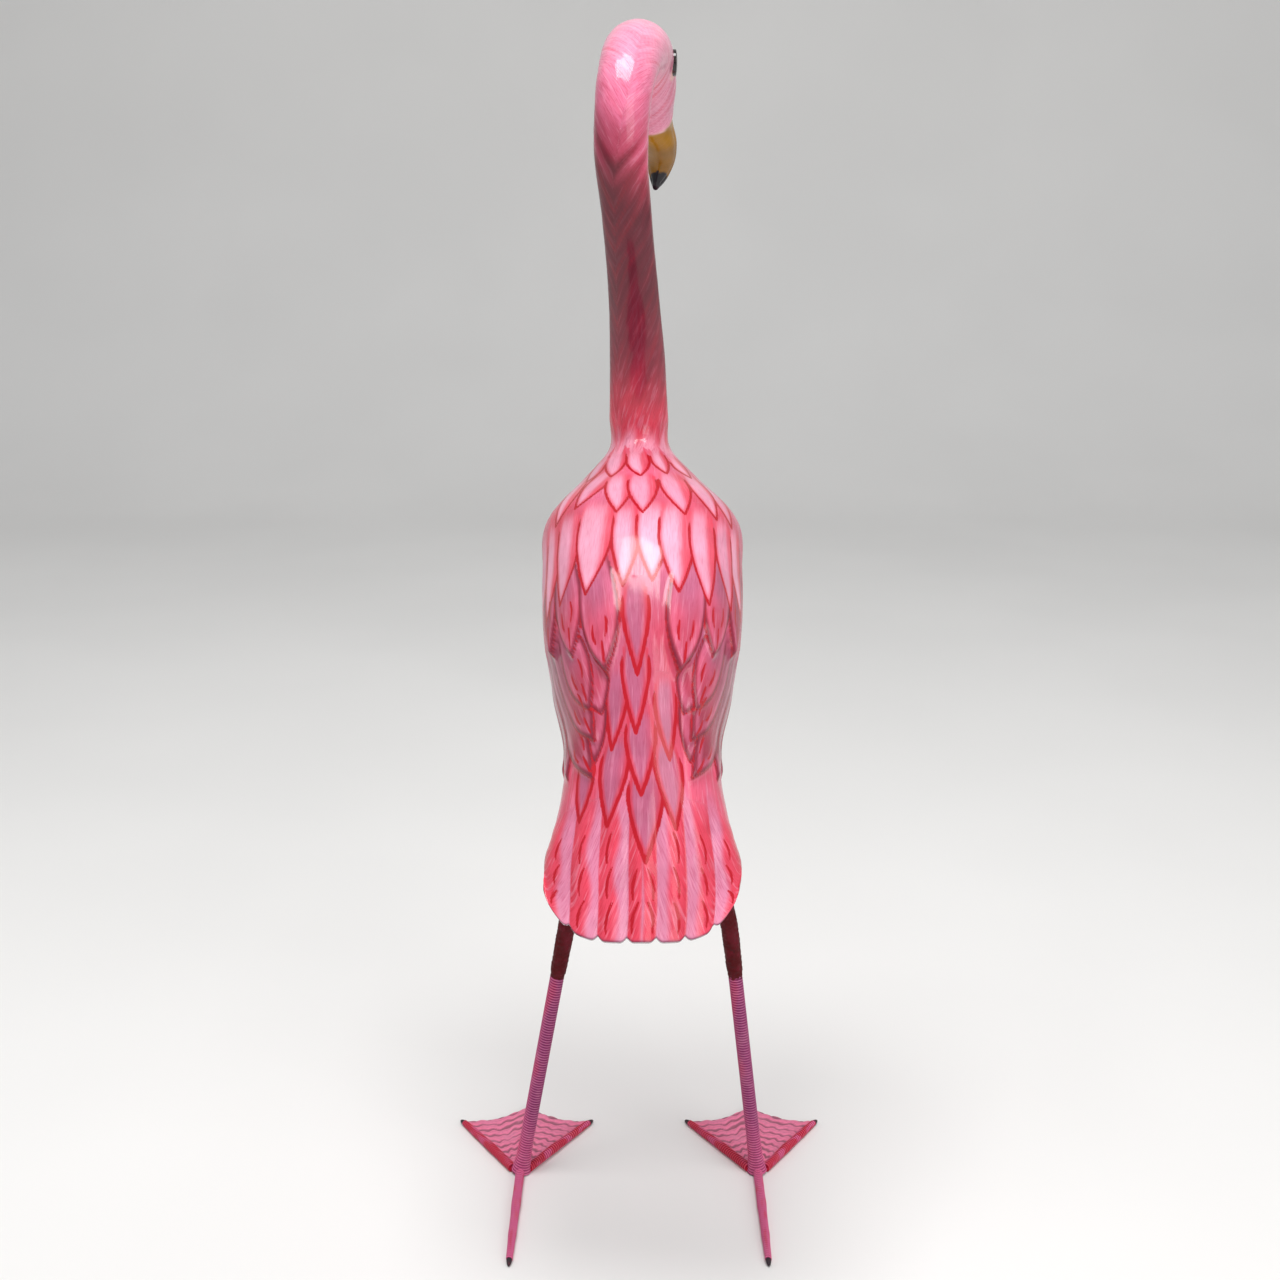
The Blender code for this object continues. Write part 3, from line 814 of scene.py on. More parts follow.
    def carved_height(self, skin: Skin) -> Array:
        """Height of the carving over the plain body, in millimetres.

        The flank and the rump lie deeper than the wings. Each wing feather replaces what lies
        under it by its own top: a step for its layer, a slope that rises to its tip and a
        rounded crown. The tail has one rounded flute for each feather.

        Args:
            skin: The places.

        Returns:
            The height at each place.
        """
        side, along, cosine = np.abs(skin.across), skin.along, np.cos(skin.angle)
        edge = self.carved_edge
        flank = smoothstep((side - self.wing_lower_edge) / edge + 0.5)
        flank = flank * (1 - band(side, self.wing_lower_edge, self.flank_edge))
        flank = flank * window(along, (70, 100), (161, 186))
        rump = smoothstep((self.rump_edge - side) / edge + 0.5) * window(along, (50, 85), (95, 125))
        height = -self.flank_depth * flank - self.rump_depth * rump
        for layer, leaf in enumerate(leaves(self.wing_rows, Style.WING, (1,), belly=0.5, point=2.0)):
            lengthwise, sideways, within = leaf.place(side, along)
            cover = smoothstep(within / edge + 0.5) * band(lengthwise, 0, 0.3)
            share = np.clip(lengthwise, 0, 1)
            top = self.feather_lift + self.feather_step * layer - self.feather_slope * (1 - share)
            crown = 1 - np.clip(sideways / leaf.half_width, -1, 1) ** 2
            top = top + self.feather_crown * crown * share
            height = height + (top - height) * cover
        height = height * smoothstep(cosine + 1)
        _, centred = self.tail_place(np.sin(skin.angle))
        flute = self.tail_flute * (0.4 - centred**2) * (1 - band(along, 35, 60))
        return height + flute * smoothstep(cosine * 4 + 0.8)

    def head_height(self, skin: Skin) -> Array:
        """Height in millimetres of the finer carving on the head: the line of the mouth along
        both sides of the bill, a nostril above it, and a low ridge where the face meets the bill."""
        row, angle, past = skin.row, np.abs(skin.angle), self.past_bill(skin)
        mouth = np.exp(-(((angle - self.mouth_angle) * skin.width / 0.55) ** 2))
        mouth = mouth * window(row, (22.05, 22.4), (25.3, 25.9))
        nostril = np.exp(-(((angle - self.nostril_angle) * skin.width / 0.6) ** 2)
                         - ((row - self.nostril_row) / 0.22) ** 2)
        ridge = 0.35 * np.exp(-((past / 0.07) ** 2)) - 0.25 * band(past, 0, 0.1)
        return (ridge - 0.55 * mouth - 0.6 * nostril) * band(row, 21, 21.8)

    def build(self) -> bpy.types.Object:
        """Build the bird's mesh and its paint."""
        number, curve = self.rails()
        steps = np.linalg.norm(np.diff(curve[:, 0:2], axis=0), axis=1)
        reach = np.concatenate([[0], np.cumsum(steps)])
        shoulder = float(np.interp(self.shoulder_row, number, reach))
        columns, half = self.body_columns, self.body_columns // 2
        body_stops = np.linspace(0, shoulder, self.body_rings)
        neck_stops = np.linspace(shoulder, reach[-1], self.neck_rings + 1)[1:]
        parts = [self.stretch(stops, reach, number, curve, count)
                 for stops, count in ((body_stops, columns), (neck_stops, half))]
        first_neck = self.body_rings * columns
        last_body = first_neck - columns
        i = np.arange(half)
        join = np.stack([last_body + 2 * i, last_body + 2 * i + 1, last_body + (2 * i + 2) % columns,
                         first_neck + (i + 1) % half, first_neck + i], axis=-1)
        faces = [grid_faces(self.body_rings, columns), join,
                 grid_faces(self.neck_rings, half, first_neck)]
        faces += fold_cap(0, columns, True)
        faces += fold_cap(first_neck + (self.neck_rings - 1) * half, half, False)
        points, paint, grain, ink = [np.concatenate(both) for both in zip(*parts)]
        shell = Shell(points * MM + self.origin, faces, paint, grain, ink)
        return build_mesh("carved_bird", [shell], [BrushedPaint().build()])

    def stretch(self, stops: Array, reach: Array, number: Array, curve: Array,
                columns: int) -> tuple[Array, Array, Array, Array]:
        """Points, paint, grain and ink of the rings along one stretch of the bird.

        Each ring is an ellipse between the upper and the lower rail, arched on the tail, and its
        points move along its normal by the carved height.

        Args:
            stops: Distance up the back of each ring.
            reach: Distance up the back of each sample of the rails.
            number: Row number of each sample.
            curve: The rails' samples.
            columns: Number of points in a ring.

        Returns:
            The points in millimetres, their colours, their grain and their ink.
        """
        rows = np.column_stack([np.interp(stops, reach, column) for column in curve.T])
        upper, lower = rows[:, 0:2], rows[:, 2:4]
        middle = (upper + lower) / 2
        depth = np.linalg.norm(upper - lower, axis=1)[:, None] / 2
        out = (upper - lower) / (2 * depth)
        width, shift, arch = rows[:, 4:5], rows[:, 5:6], rows[:, 6:7]
        angle = self.angles(stops, columns)
        sine, cosine = np.sin(angle), np.cos(angle)
        rise = depth * cosine - arch * sine**2
        points = np.stack([shift + width * sine, middle[:, 0:1] + out[:, 0:1] * rise,
                           middle[:, 1:2] + out[:, 1:2] * rise], axis=-1)
        steps = np.linalg.norm(np.diff(points, axis=1), axis=2)
        reached = np.concatenate([0 * width, np.cumsum(steps, axis=1)], axis=1)
        across = reached - reached[:, columns // 2:columns // 2 + 1]
        along, row, wide = np.broadcast_arrays(
            stops[:, None], np.interp(stops, reach, number)[:, None], width, across)[:3]
        skin = Skin(across, along, row, angle, wide)
        self.decorate(skin)

        grain = skin.grain
        gouged = ripple(grain[..., 0] * 0.03, grain[..., 1] * 0.3 + grain[..., 2] * 7, Seed.GOUGE)
        height = soften(self.carved_height(skin) + self.head_height(skin)
                        + self.gouge_depth * gouged * skin.paint[..., 3])
        side, lift = sine / width, cosine / depth
        size = np.hypot(side, lift)
        normal = np.stack([side / size, out[:, 0:1] * lift / size, out[:, 1:2] * lift / size], axis=-1)
        points = points + normal * height[..., None]
        notch = np.maximum(0, 2 * np.abs(self.tail_place(sine)[1]) - 1) ** 2
        cut = self.tail_round * self.height * sine**4 + self.tail_notch * notch
        tail = np.array(self.tail_run) / np.linalg.norm(self.tail_run)
        points = points - (cut * np.clip(1 - along / 55, 0, 1))[..., None] * tail
        return points.reshape(-1, 3), skin.paint.reshape(-1, 4), grain.reshape(-1, 3), skin.ink.ravel()

    def feathers(self) -> list[Feather]:
        """Every painted feather, lowest first: breast and flank, the strip down the middle, the
        wings, and the three rows of scales on the back."""
        breast, pitch = [], self.breast_pitch
        for row, up in enumerate(range(self.breast_start[1], self.breast_top, pitch)):
            for column in range(self.breast_columns):
                out = self.breast_start[0] + pitch * (column + 0.5 * (row % 2))
                breast_feather = (out, up + self.breast_length, out, up, self.breast_half_width)
                breast += leaves((breast_feather,), Style.BREAST, belly=0.6, point=2.2)
        return (breast + leaves(self.strip_feathers, Style.STRIP, (1,), belly=0.35, point=1.5)
                + leaves(self.inner_coverts + self.wing_rows, Style.WING, belly=0.5, point=2.0)
                + leaves(self.scales, Style.SCALE, (1,)))

    def decorate(self, skin: Skin) -> None:
        """Paint the tail, the feathers, their strokes, the neck and the head, each over the last."""
        self.paint_tail(skin)
        for count, feather in enumerate(self.feathers()):
            self.paint_feather(feather, count, skin)
        for start, end, bow in self.strokes():
            stroke = stroke_distance(skin.across, skin.along, start, end, bow)
            skin.ink = np.minimum(skin.ink, stroke + self.stroke_offset)
        self.paint_neck(skin)
        self.paint_head(skin)
        skin.paint[..., :3] = np.clip(skin.paint[..., :3], 0, 1)

    def paint_tail(self, skin: Skin) -> None:
        """Tail feathers: coral on the outer half of each and lilac on the inner half, with fine
        barbs that slant outwards, and a dark mauve painted shade on the end face."""
        along, middle = skin.along, self.tail_feathers // 2
        number, centred = self.tail_place(np.sin(skin.angle))
        side = np.sign(number - middle)
        outer = np.where(side == 0, 2 * np.abs(centred) - 0.3, centred * side)
        bent = outer + 0.12 * ripple(along * 0.03, number, Seed.TAIL)
        stripe = washes(
            Colour.LILAC, along.shape, (Colour.PALE, 0.22),
            (Colour.CORAL, 0.95 * band(bent, -0.5, 0.0)),
            (Colour.CRIMSON, 0.25 * band(bent, 0.6, 1.0)),
            (Colour.PALE, 0.2 * (1 - band(along, 3, 16)) * (1 - band(outer, -0.2, 0.2))),
            (Colour.ROSE, 0.45 * (np.cos(skin.angle) < -0.12)),
            # painted shade: dark mauve on the tail's end face, which faces down and back
            (Colour.TAIL_END_SHADE, 0.9 * (1 - band(along, 0.2, 1.1))))
        tail = 1 - band(along, 42, 66)
        skin.lay(stripe, tail)
        skin.paint[..., 3] = np.where(along < 1, 0.2, skin.paint[..., 3])
        slant = np.where(side == 0, np.sign(centred), side)
        barbs = np.stack([along, skin.across + 0.35 * along * slant, number], axis=-1)
        skin.grain = np.where((tail > 0.5)[..., None], barbs, skin.grain)

    def paint_feather(self, feather: Feather, count: int, skin: Skin) -> None:
        """Lay one feather over what lies under it, with its outline and its brushed colours.

        Args:
            feather: The feather.
            count: Its number, which picks how its colours vary.
            skin: The places that it is painted on.
        """
        lengthwise, sideways, inside = feather.place(skin.across, skin.along)
        near, on = inside > -1.5, inside > 0
        if not near.any():
            return
        thinner, streaks = feather.style.value
        share, within = lengthwise[on], inside[on]
        right = sideways[on] / feather.half_width
        tone, lean = np.random.default_rng(count).uniform(-1, 1, 2)
        if feather.style is Style.SCALE:
            layers = ((Colour.PALE, 0.75 + 0.2 * tone),
                      (Colour.CORAL, 0.85 * band(right + 0.2 * lean, 0.05, 0.6)),
                      (Colour.CORAL, 0.75 * (1 - band(within, 0.6, 2.2))),
                      (Colour.CORAL, 0.35 * (1 - band(share, 0.05, 0.4))))
        elif feather.style is Style.STRIP:
            layers = ((Colour.CORAL, 0.95 * (1 - band(within, 0.9, 2.2))),
                      (Colour.CORAL, 0.5 * band(right, 0.1, 0.8)),
                      (Colour.ROSE, 0.26))
        elif feather.style is Style.WING:
            middle = 1 - band(np.abs(right), 0.1, 0.8)
            low = 1 - band(skin.along[on], 70, 125)
            layers = ((Colour.CORAL, 0.3 + 0.6 * band(share, 0.3, 0.75) - 0.28 * middle),
                      # partly painted shade: darker rose towards the lower end and the outer sides,
                      # where the wing rounds down
                      (Colour.ROSE, 0.14 + 0.2 * low * band(share, 0.4, 1) + 0.42 * low),
                      (Colour.ROSE, 0.6 * band(np.abs(skin.across[on]), 29, 46)),
                      # painted highlight: a lighter band just inside the raised edge
                      (Colour.BLUSH, 0.35 * window(within, (1.2, 2.0), (2.6, 4.4))),
                      # dark paint and painted shade along the carved edge and in the step below it
                      (Colour.ROSE, 0.9 * (1 - band(within, 0.6, 1.9))),
                      (Colour.WINE, 0.25 * (1 - band(within, 0.1, 1.1))))
        else:
            layers = ((Colour.BLUSH, 0.8), (Colour.CORAL, 0.55 * (1 - band(within, 0.6, 4.0))))
        colour = washes(Colour.LILAC, share.shape, *layers)
        paint = skin.paint
        paint[on, :3] += (colour[..., :3] - paint[on, :3]) * band(share, 0.0, 0.2)[..., None]
        paint[on, 3] = streaks
        paint[near, 3] *= 0.15 + 0.85 * band(np.abs(inside[near]), 0.4, 1.8)
        skin.grain[on] = np.stack([share * feather.length, sideways[on],
                                   np.full(share.shape, 3.1 * count)], axis=-1)
        outline = np.abs(inside) + thinner + 2.5 * (1 - band(lengthwise, 0.02, 0.3))
        hidden = skin.ink + FAR * band(lengthwise, 0.0, 0.2) * on
        skin.ink[near] = np.minimum(hidden, outline)[near]

    def strokes(self) -> list[tuple[tuple[float, float], tuple[float, float], float]]:
        """Curved strokes in dark red: three on the outer half of each tail feather, two on both
        halves of the middle one, and three on each of the larger wing feathers."""
        found = []
        middle = self.tail_feathers // 2
        for number in range(self.tail_feathers):
            centre = self.height * 0.15 * (number - middle) / self.tail_feathers
            sides, inner, lows = (int(np.sign(number - middle)),), 0.6, (3, 16, 29)
            if number == middle:
                sides, inner, lows = (1, -1), 1.8, (3, 15)
            for low in lows:
                for side in sides:
                    start = (centre + inner * side, low + 11)
                    found.append((start, (centre + (inner + 1.9) * side, low), -0.9 * side))
        for leaf in leaves(self.wing_rows[2:], Style.WING):
            root, tip = np.array(leaf.root), np.array(leaf.tip)
            run = (tip - root) / leaf.length
            out = np.array([run[1], -run[0]])
            for back, off in ((16, -2.8), (18, 2.8), (8, 0.6)):
                start = tip - run * (back + 4) + out * off
                end = tip - run * (back - 4.4) + out * off * 0.75
                found.append((tuple(start), tuple(end), 0.2 * off))
        return found

    def paint_neck(self, skin: Skin) -> None:
        """Hair strokes that fall in a V to a line that wanders down the nape, over a neck that
        darkens below the head, partly in dark paint and partly as painted shade where the neck
        leans back and faces down under the head, and is lighter again where it joins the back,
        partly as a painted highlight where it turns up into the back.

        The strokes are level lines of the distance from that line less a rising function of the
        distance up the neck, which steepens them towards the base.
        """
        along, ink = skin.along, skin.ink
        off = skin.across - np.interp(along, (222, 260, 300, 334, 348, 372, 395, 440),
                                      (11, 9, 7, 4, 1, -3, -4.5, -3))
        level = np.interp(along, (200, 260, 300, 340, 380, 522), (0, 18, 33, 55, 87, 229)) - np.abs(off)
        strokes = np.stack([1.5 * along, 0.85 * level, np.sign(off)], axis=-1)
        base = band(along, 205, 216)
        bare = (base > 0.5) & (ink > 3)
        skin.grain = np.where((bare | (along > 222))[..., None], strokes, skin.grain)
        wander = ripple(along * 0.012, level * 0.16, Seed.NECK)
        hair = ripple(along * 0.02, level * 0.42, Seed.HAIR)
        place = along - 0.7 * skin.across
        # dark paint and painted shade: dark rose over the middle of the neck, which leans back and faces
        # down
        dark = band(along + 5 * wander, 218, 262) * (1 - band(place + 7 * wander, 324, 374))
        # dark paint and painted shadow of the head: the deepest wine just below the head
        darkest_paint_and_shade = band(along + 1.5 * wander, 236, 300) * (1 - band(place + 5 * wander, 322, 362))
        neck = washes(
            Colour.CORAL, along.shape,
            # partly painted highlight: pale where the neck turns up into the back
            (Colour.PALE, 0.75 * (1 - band(along + 3 * wander, 212, 224))),
            (Colour.BLUSH, 0.85 * band(along + 5 * wander, 328, 368) + 0.1 * hair),
            (Colour.PALE, (0.68 + 0.25 * hair) * band(along, 365, 405)),
            (Colour.CORAL, 0.5 * band(wander + 0.3 * hair, 0.5, 1.4) * band(along, 370, 390)),
            (Colour.ROSE, 0.95 * dark),
            (Colour.WINE, 0.66 * darkest_paint_and_shade + 0.16 * dark * band(-hair, 0.2, 1.2)),
            (Colour.CRIMSON, 0.2 * dark * band(hair, 0.2, 1.4)))
        amount = np.maximum(base * (ink > 3), band(along, 216, 224))
        skin.lay(neck, amount)
        skin.paint[..., 3] += (0.8 - 0.45 * dark - skin.paint[..., 3]) * amount
        skin.ink = ink + FAR * band(along, 214, 222)

    def paint_head(self, skin: Skin) -> None:
        """Flushed cheeks, a bare ring round each eye, a cream rim round the base of the bill, which
        slants down from the brow to the chin, a mustard bill that browns along its middle, and
        its black tip."""
        row, angle, past = skin.row, skin.angle, self.past_bill(skin)
        skin.lay(Colour.ROSE.linear, 0.12 * band(row, 18.6, 20.4))
        eye = np.hypot((row - self.eye_row) * 22, (np.abs(angle) - np.pi / 2) * skin.width)
        skin.lay(Colour.CREAM.linear, 0.6 * (1 - band(eye, 6.2, 7.6)) * (row > 19))
        wander = ripple(skin.along * 0.06, angle * 0.5, Seed.BILL)
        tip = row + 0.12 * wander - 0.15 * np.cos(angle)
        colour = washes(Colour.MUSTARD, row.shape,
                        (Colour.OCHRE, 0.2 + 0.06 * wander + 0.45 * band(row, 22.5, 23.4)),
                        (Colour.BILL_BLACK, band(tip, self.black_row - 0.1, self.black_row + 0.05)))
        bill = band(past, 0, 0.05)
        skin.lay(colour, bill)
        skin.lay(Colour.CREAM.linear, 0.5 * np.exp(-((past / 0.05) ** 2)))
        skin.paint[..., 3] += (0.12 - skin.paint[..., 3]) * bill


class Binding(IntEnum):
    """Finishes of a leg, in the order of its materials."""

    THREAD = 0
    COAT = 1
    HORN = 2


@dataclass
class Leg:
    """One wire leg: a webbed foot, a shank bound with thread, and a thigh with a rough coat."""

    side: str
    origin: Array
    ankle: tuple[float, float, float]
    knee: tuple[float, float, float]
    hip: tuple[float, float, float]
    shank_radius: float = 3.2
    thigh_coat: float = 0.6
    thigh_top_radius: float = 5.0
    thigh_root: float = 28.0
    thigh_start: float = 104.5
    ankle_radius: float = 4.75
    ankle_height: float = 10.0
    toe_radius: float = 2.1
    toe_spread: float = 65.0
    outer_toe: float = 38.0
    middle_toe: float = 50.0
    claw: float = 3.5
    hind_toe: float = 67.0
    hind_radius: float = 2.1
    web_thickness: float = 1.5
    web_cord: float = 0.9
    web_cords: int = 9
    web_sag: float = 3.5
    palm_in_toes: float = 3.2
    thread_pitch: float = 1.3
    bend: float = 5.0
    lowest: float = 0.8
    post_columns: int = 30
    toe_columns: int = 22
    web_grid: tuple[int, int] = (127, 61)
    knuckles: tuple = ((0.42, 0.07, 0.16), (0.75, 0.06, 0.14))

    def shell(self, points: Array, faces: list[Array], paint: Array, grain: Array, ink: Array,
              finish: int = 0) -> Shell:
        """Skin from points in millimetres measured from the foot of the leg."""
        place = points.reshape(-1, 3) * MM + self.origin
        return Shell(place, faces, paint.reshape(-1, 4), grain.reshape(-1, 3), ink.ravel(), finish)

    def winding(self, length: Array, turn: Array) -> Array:
        """Roundness of wound thread: the size of the sine of half a turn for each pitch along the
        wire, shifted by half the angle round it so that the thread climbs."""
        return np.abs(np.sin(np.pi * length / self.thread_pitch + turn / 2))

    def post(self) -> tuple[Array, Array, Array, float]:
        """Middle line of the shank and thigh: two straight runs with a soft bend between them,
        each run weighted by (x + sqrt(x^2 + bend^2)) / 2 of the distance x from the knee.

        Returns:
            The distance up the leg, the points, the radius at each of them before its finish,
            and the distance up the leg where the coat starts.
        """
        ankle, knee, hip = np.array(self.ankle), np.array(self.knee), np.array(self.hip)
        shank, thigh = np.linalg.norm(knee - ankle), np.linalg.norm(hip - knee)
        down, up = (knee - ankle) / shank, (hip - knee) / thigh
        start = self.thigh_start / down[2]
        length = np.concatenate([
            np.arange(1, start, self.thread_pitch / 6),
            np.linspace(start, shank + thigh, 240),
        ])
        past = (length - shank)[:, None]
        near = np.hypot(past, self.bend)
        points = knee + up * (near + past) / 2 - down * (near - past) / 2
        points[:, 2] = np.maximum(points[:, 2], self.lowest)
        thin = self.shank_radius + self.thigh_coat / 2
        knee_radius = thin + (self.thigh_top_radius - thin) * 0.25
        stops = ((1, self.ankle_radius), (4.5, 0.84 * self.ankle_radius),
                 (self.ankle_height, self.shank_radius * 1.08),
                 (2 * self.ankle_height, self.shank_radius), (start - 2.4, self.shank_radius),
                 (start, thin), (shank, knee_radius),
                 (shank + (thigh - self.thigh_root) / 2, (knee_radius + self.thigh_top_radius) * 0.48),
                 (shank + thigh - self.thigh_root, self.thigh_top_radius),
                 (shank + thigh, self.thigh_top_radius))
        radius = np.interp(length, *np.array(stops).T)
        return length, points, radius, start

    def build_post(self) -> list[Shell]:
        """Bound shank and coated thigh, as two skins that meet under the lower end of the coat."""
        length, points, radius, start = self.post()
        turn = turns(self.post_columns)[None, :]
        sideways = np.array([1.0, 0.0, 0.0])
        far = length[:, None] + 0 * turn
        grain = np.stack([far, turn * radius[:, None], 0 * far], axis=-1)
        wander = ripple(far * 0.04, turn * 0.3, Seed.THREAD)

        wound = self.winding(far, turn)
        radii = np.minimum(radius, self.shank_radius + 2.6)[:, None] - 0.45 * (1 - wound**0.7)
        radii = np.where(far > start - 2.5, np.minimum(radii, self.shank_radius - 0.2), radii)
        paint = washes(Colour.THREAD, far.shape,
                       (Colour.THREAD_PINK, 0.7 * (1 - band(far, 8, 40)) + 0.2 * wander),
                       # painted highlight: pinker on the side towards the bird's left
                       (Colour.THREAD_PINK, 0.5 * band(np.cos(turn) + 0 * far, 0.2, 1.0)),
                       (Colour.THREAD_RED, 0.3 * band(wander, 0.5, 1.4)))
        shank = self.tube(points, radii, sideways, paint, grain, wound, Binding.THREAD,
                          length < start + 1.5)

        rough = 0.12 * ripple(far * 0.25, turn * 1.3, Seed.COAT)
        rough = rough + 0.08 * ripple(far * 0.6, turn * 3.1, Seed.GRIT)
        swell = 0.5 * band(far, start - 3.5, start + 1.0) - 0.5
        radii = np.maximum(radius, self.shank_radius + self.thigh_coat / 2)[:, None] + swell + rough
        paint = washes(Colour.THIGH, far.shape, (Colour.ROSE, 0.25 * band(wander, 0.2, 1.2)))
        thigh = self.tube(points, radii, sideways, paint, grain, FAR + 0 * far, Binding.COAT,
                          length > start - 3.5)
        return [shank, thigh]

    def tube(self, points: Array, radii: Array, reference: Array, paint: Array, grain: Array,
             ink: Array, finish: Binding, used: Array | slice = slice(None)) -> Shell:
        """Closed tube over the used part of a path."""
        across, over = tube_frames(points, reference)
        skin = revolve(points[used], radii[used], across[used], over[used])
        return self.shell(skin, tube_faces(*skin.shape[:2]), paint[used], grain[used], ink[used], finish)

    def toe(self, start: Array, end: Array, radius: float, paint: Colour, claw: float,
            seed: int) -> list[Shell]:
        """One bound toe with its claw.

        The toe is a straight tube that thins a little towards its end, swells at two knuckles,
        and is wound with thread. The claw is a cone whose radius falls as a quarter circle.

        Args:
            start: Its inner end on the floor.
            end: The place on the floor where its claw starts.
            radius: Radius over the thread.
            paint: Colour of the thread.
            claw: Length of the claw.
            seed: Number that picks the wandering of the thread's colour.

        Returns:
            The skins of the toe and of the claw.
        """
        size = np.linalg.norm(end - start)
        run = (end - start) / size
        length = np.arange(0, size, self.thread_pitch / 6)
        along, turn = length[:, None], turns(self.toe_columns)[None, :]
        share = along / size
        wound = self.winding(along, turn)
        plain = radius * (1 - 0.3 * share**2)
        for at, wide, high in self.knuckles:
            plain = plain + high * np.exp(-(((share - at) / wide) ** 2))
        radii = plain - 0.3 * (1 - wound**0.7)
        wander = ripple(along * 0.09, turn * 0.3, seed)
        colour = washes(paint, wander.shape, (Colour.THREAD_RED, 0.6 * band(wander, 0.1, 1.0)),
                        (Colour.THREAD_PINK, 0.8 * band(-wander, -0.1, 0.9)))
        grain = np.stack([along + 0 * turn, turn * radius + 0 * share, seed + 0 * wander], axis=-1)
        points = start + run * along + UP * plain
        body = self.tube(points, radii, UP, colour, grain, wound, Binding.THREAD)

        step = np.linspace(0, 1, 10)[:, None]
        tip_radius = 0.62 * radius
        shrink = np.sqrt(np.clip(1 - step**1.6, 0, 1)) * 0.97 + 0.03
        middle = end + run * (claw * (1.25 * step - 0.25)) + UP * tip_radius * (0.35 + 0.65 * shrink)
        radii = tip_radius * shrink + 0 * turn
        dark = washes(Colour.CLAW, radii.shape)
        grain = np.stack([step * claw + 0 * turn, turn + 0 * step, 0 * radii], axis=-1)
        nail = self.tube(middle, radii, UP, dark, grain, FAR + 0 * radii, Binding.HORN)
        return [body, nail]

    def web(self) -> Shell:
        """Sheet of cords strung side to side between the toes, flat below.

        Its half width grows from the palm to the toes' spread, its front edge sags between the
        toes by the sine of the distance across, and its top rises over each cord as the size of
        a sine along it.
        """
        rows, columns = self.web_grid
        b = np.linspace(0, 1, rows)[:, None]
        a = np.linspace(-1, 1, columns)[None, :]
        wide = np.abs(a)
        palm = self.palm_in_toes * self.toe_radius
        half = palm + (self.toe_spread / 2 - palm) * b - self.toe_radius * 0.8
        front = self.middle_toe + (self.outer_toe - self.middle_toe) * wide
        front = front - self.web_sag * np.sin(np.pi * wide)
        wave = 0.35 * np.sin(9 * a + 5 * b) + 0.3 * (np.sin(19 * a - 9 * b) + np.sin(31 * a + 14 * b))
        cord = np.abs(np.sin(np.pi * self.web_cords * b + wave))
        z = self.web_thickness + self.web_cord * cord**0.7 - 0.25 * np.sin(np.pi * wide)
        top = np.stack([a * half, -b * front, z], axis=-1)
        floor = np.stack([a * half, -b * front, 0.1 + 0 * z], axis=-1)[:, ::-1]
        ring = np.concatenate([top, floor], axis=1)
        i = np.arange(columns - 1)
        cap = np.stack([i, i + 1, 2 * columns - 2 - i, 2 * columns - 1 - i], axis=-1)
        faces = [grid_faces(rows, 2 * columns)[:, ::-1], cap, cap[:, ::-1] + (rows - 1) * 2 * columns]
        wander = ripple(a * 1.2 + 0 * b, b * 3, Seed.WEB)
        strand = np.abs(np.sin(2 * np.pi * self.web_cords * b + 1.4 * wave + 0.6 * wander))
        paint = washes(Colour.WEB_PINK, z.shape, (Colour.LILAC, 0.15 + 0.3 * wander),
                       (Colour.THREAD_RED, 0.3 * band(wide + 0 * b, 0.6, 1)),
                       # painted shade: dark wine in the gaps between the cords and along the strands
                       (Colour.WINE, 0.95 * (1 - band(cord + 0.2 * wander, 0.3, 0.6))),
                       (Colour.WINE, 0.3 * (1 - band(strand, 0.15, 0.45))))
        grain = np.stack([b * front, a * half * 0.5, 0 * z], axis=-1)
        paint, grain = [np.concatenate([side, side[:, ::-1]], axis=1) for side in (paint, grain)]
        return self.shell(ring + np.array(self.ankle), faces, paint, grain, np.full(ring.shape[:2], FAR))

    def build(self) -> bpy.types.Object:
        """Build the leg's mesh."""
        ankle = np.array(self.ankle)
        shells = self.build_post() + [self.web()]
        reach = self.toe_spread / 2 - self.toe_radius
        outer, middle = 0.6 - self.outer_toe, 0.6 - self.middle_toe
        ends = ((-reach, outer, Colour.THREAD_RED), (0, middle, Colour.WEB_PINK),
                (reach, outer, Colour.THREAD_RED))
        for number, (x, y, colour) in enumerate(ends):
            start = ankle + np.array([1.8 * self.toe_radius * np.sign(x), 0.0, 0.0])
            shells += self.toe(start, ankle + np.array([x, y, 0.0]), self.toe_radius, colour,
                               self.claw, Seed.FRONT_TOES + number)
        back = ankle + np.array([0.0, self.hind_toe - self.claw, 0.0])
        shells += self.toe(ankle, back, self.hind_radius, Colour.THREAD_PINK, self.claw - 0.1,
                           Seed.HIND_TOE)
        horn = RoughCoat(name="claw_horn", roughness=0.45)
        return build_mesh("bound_leg_" + self.side, shells,
                          [BoundThread().build(), RoughCoat().build(), horn.build()])


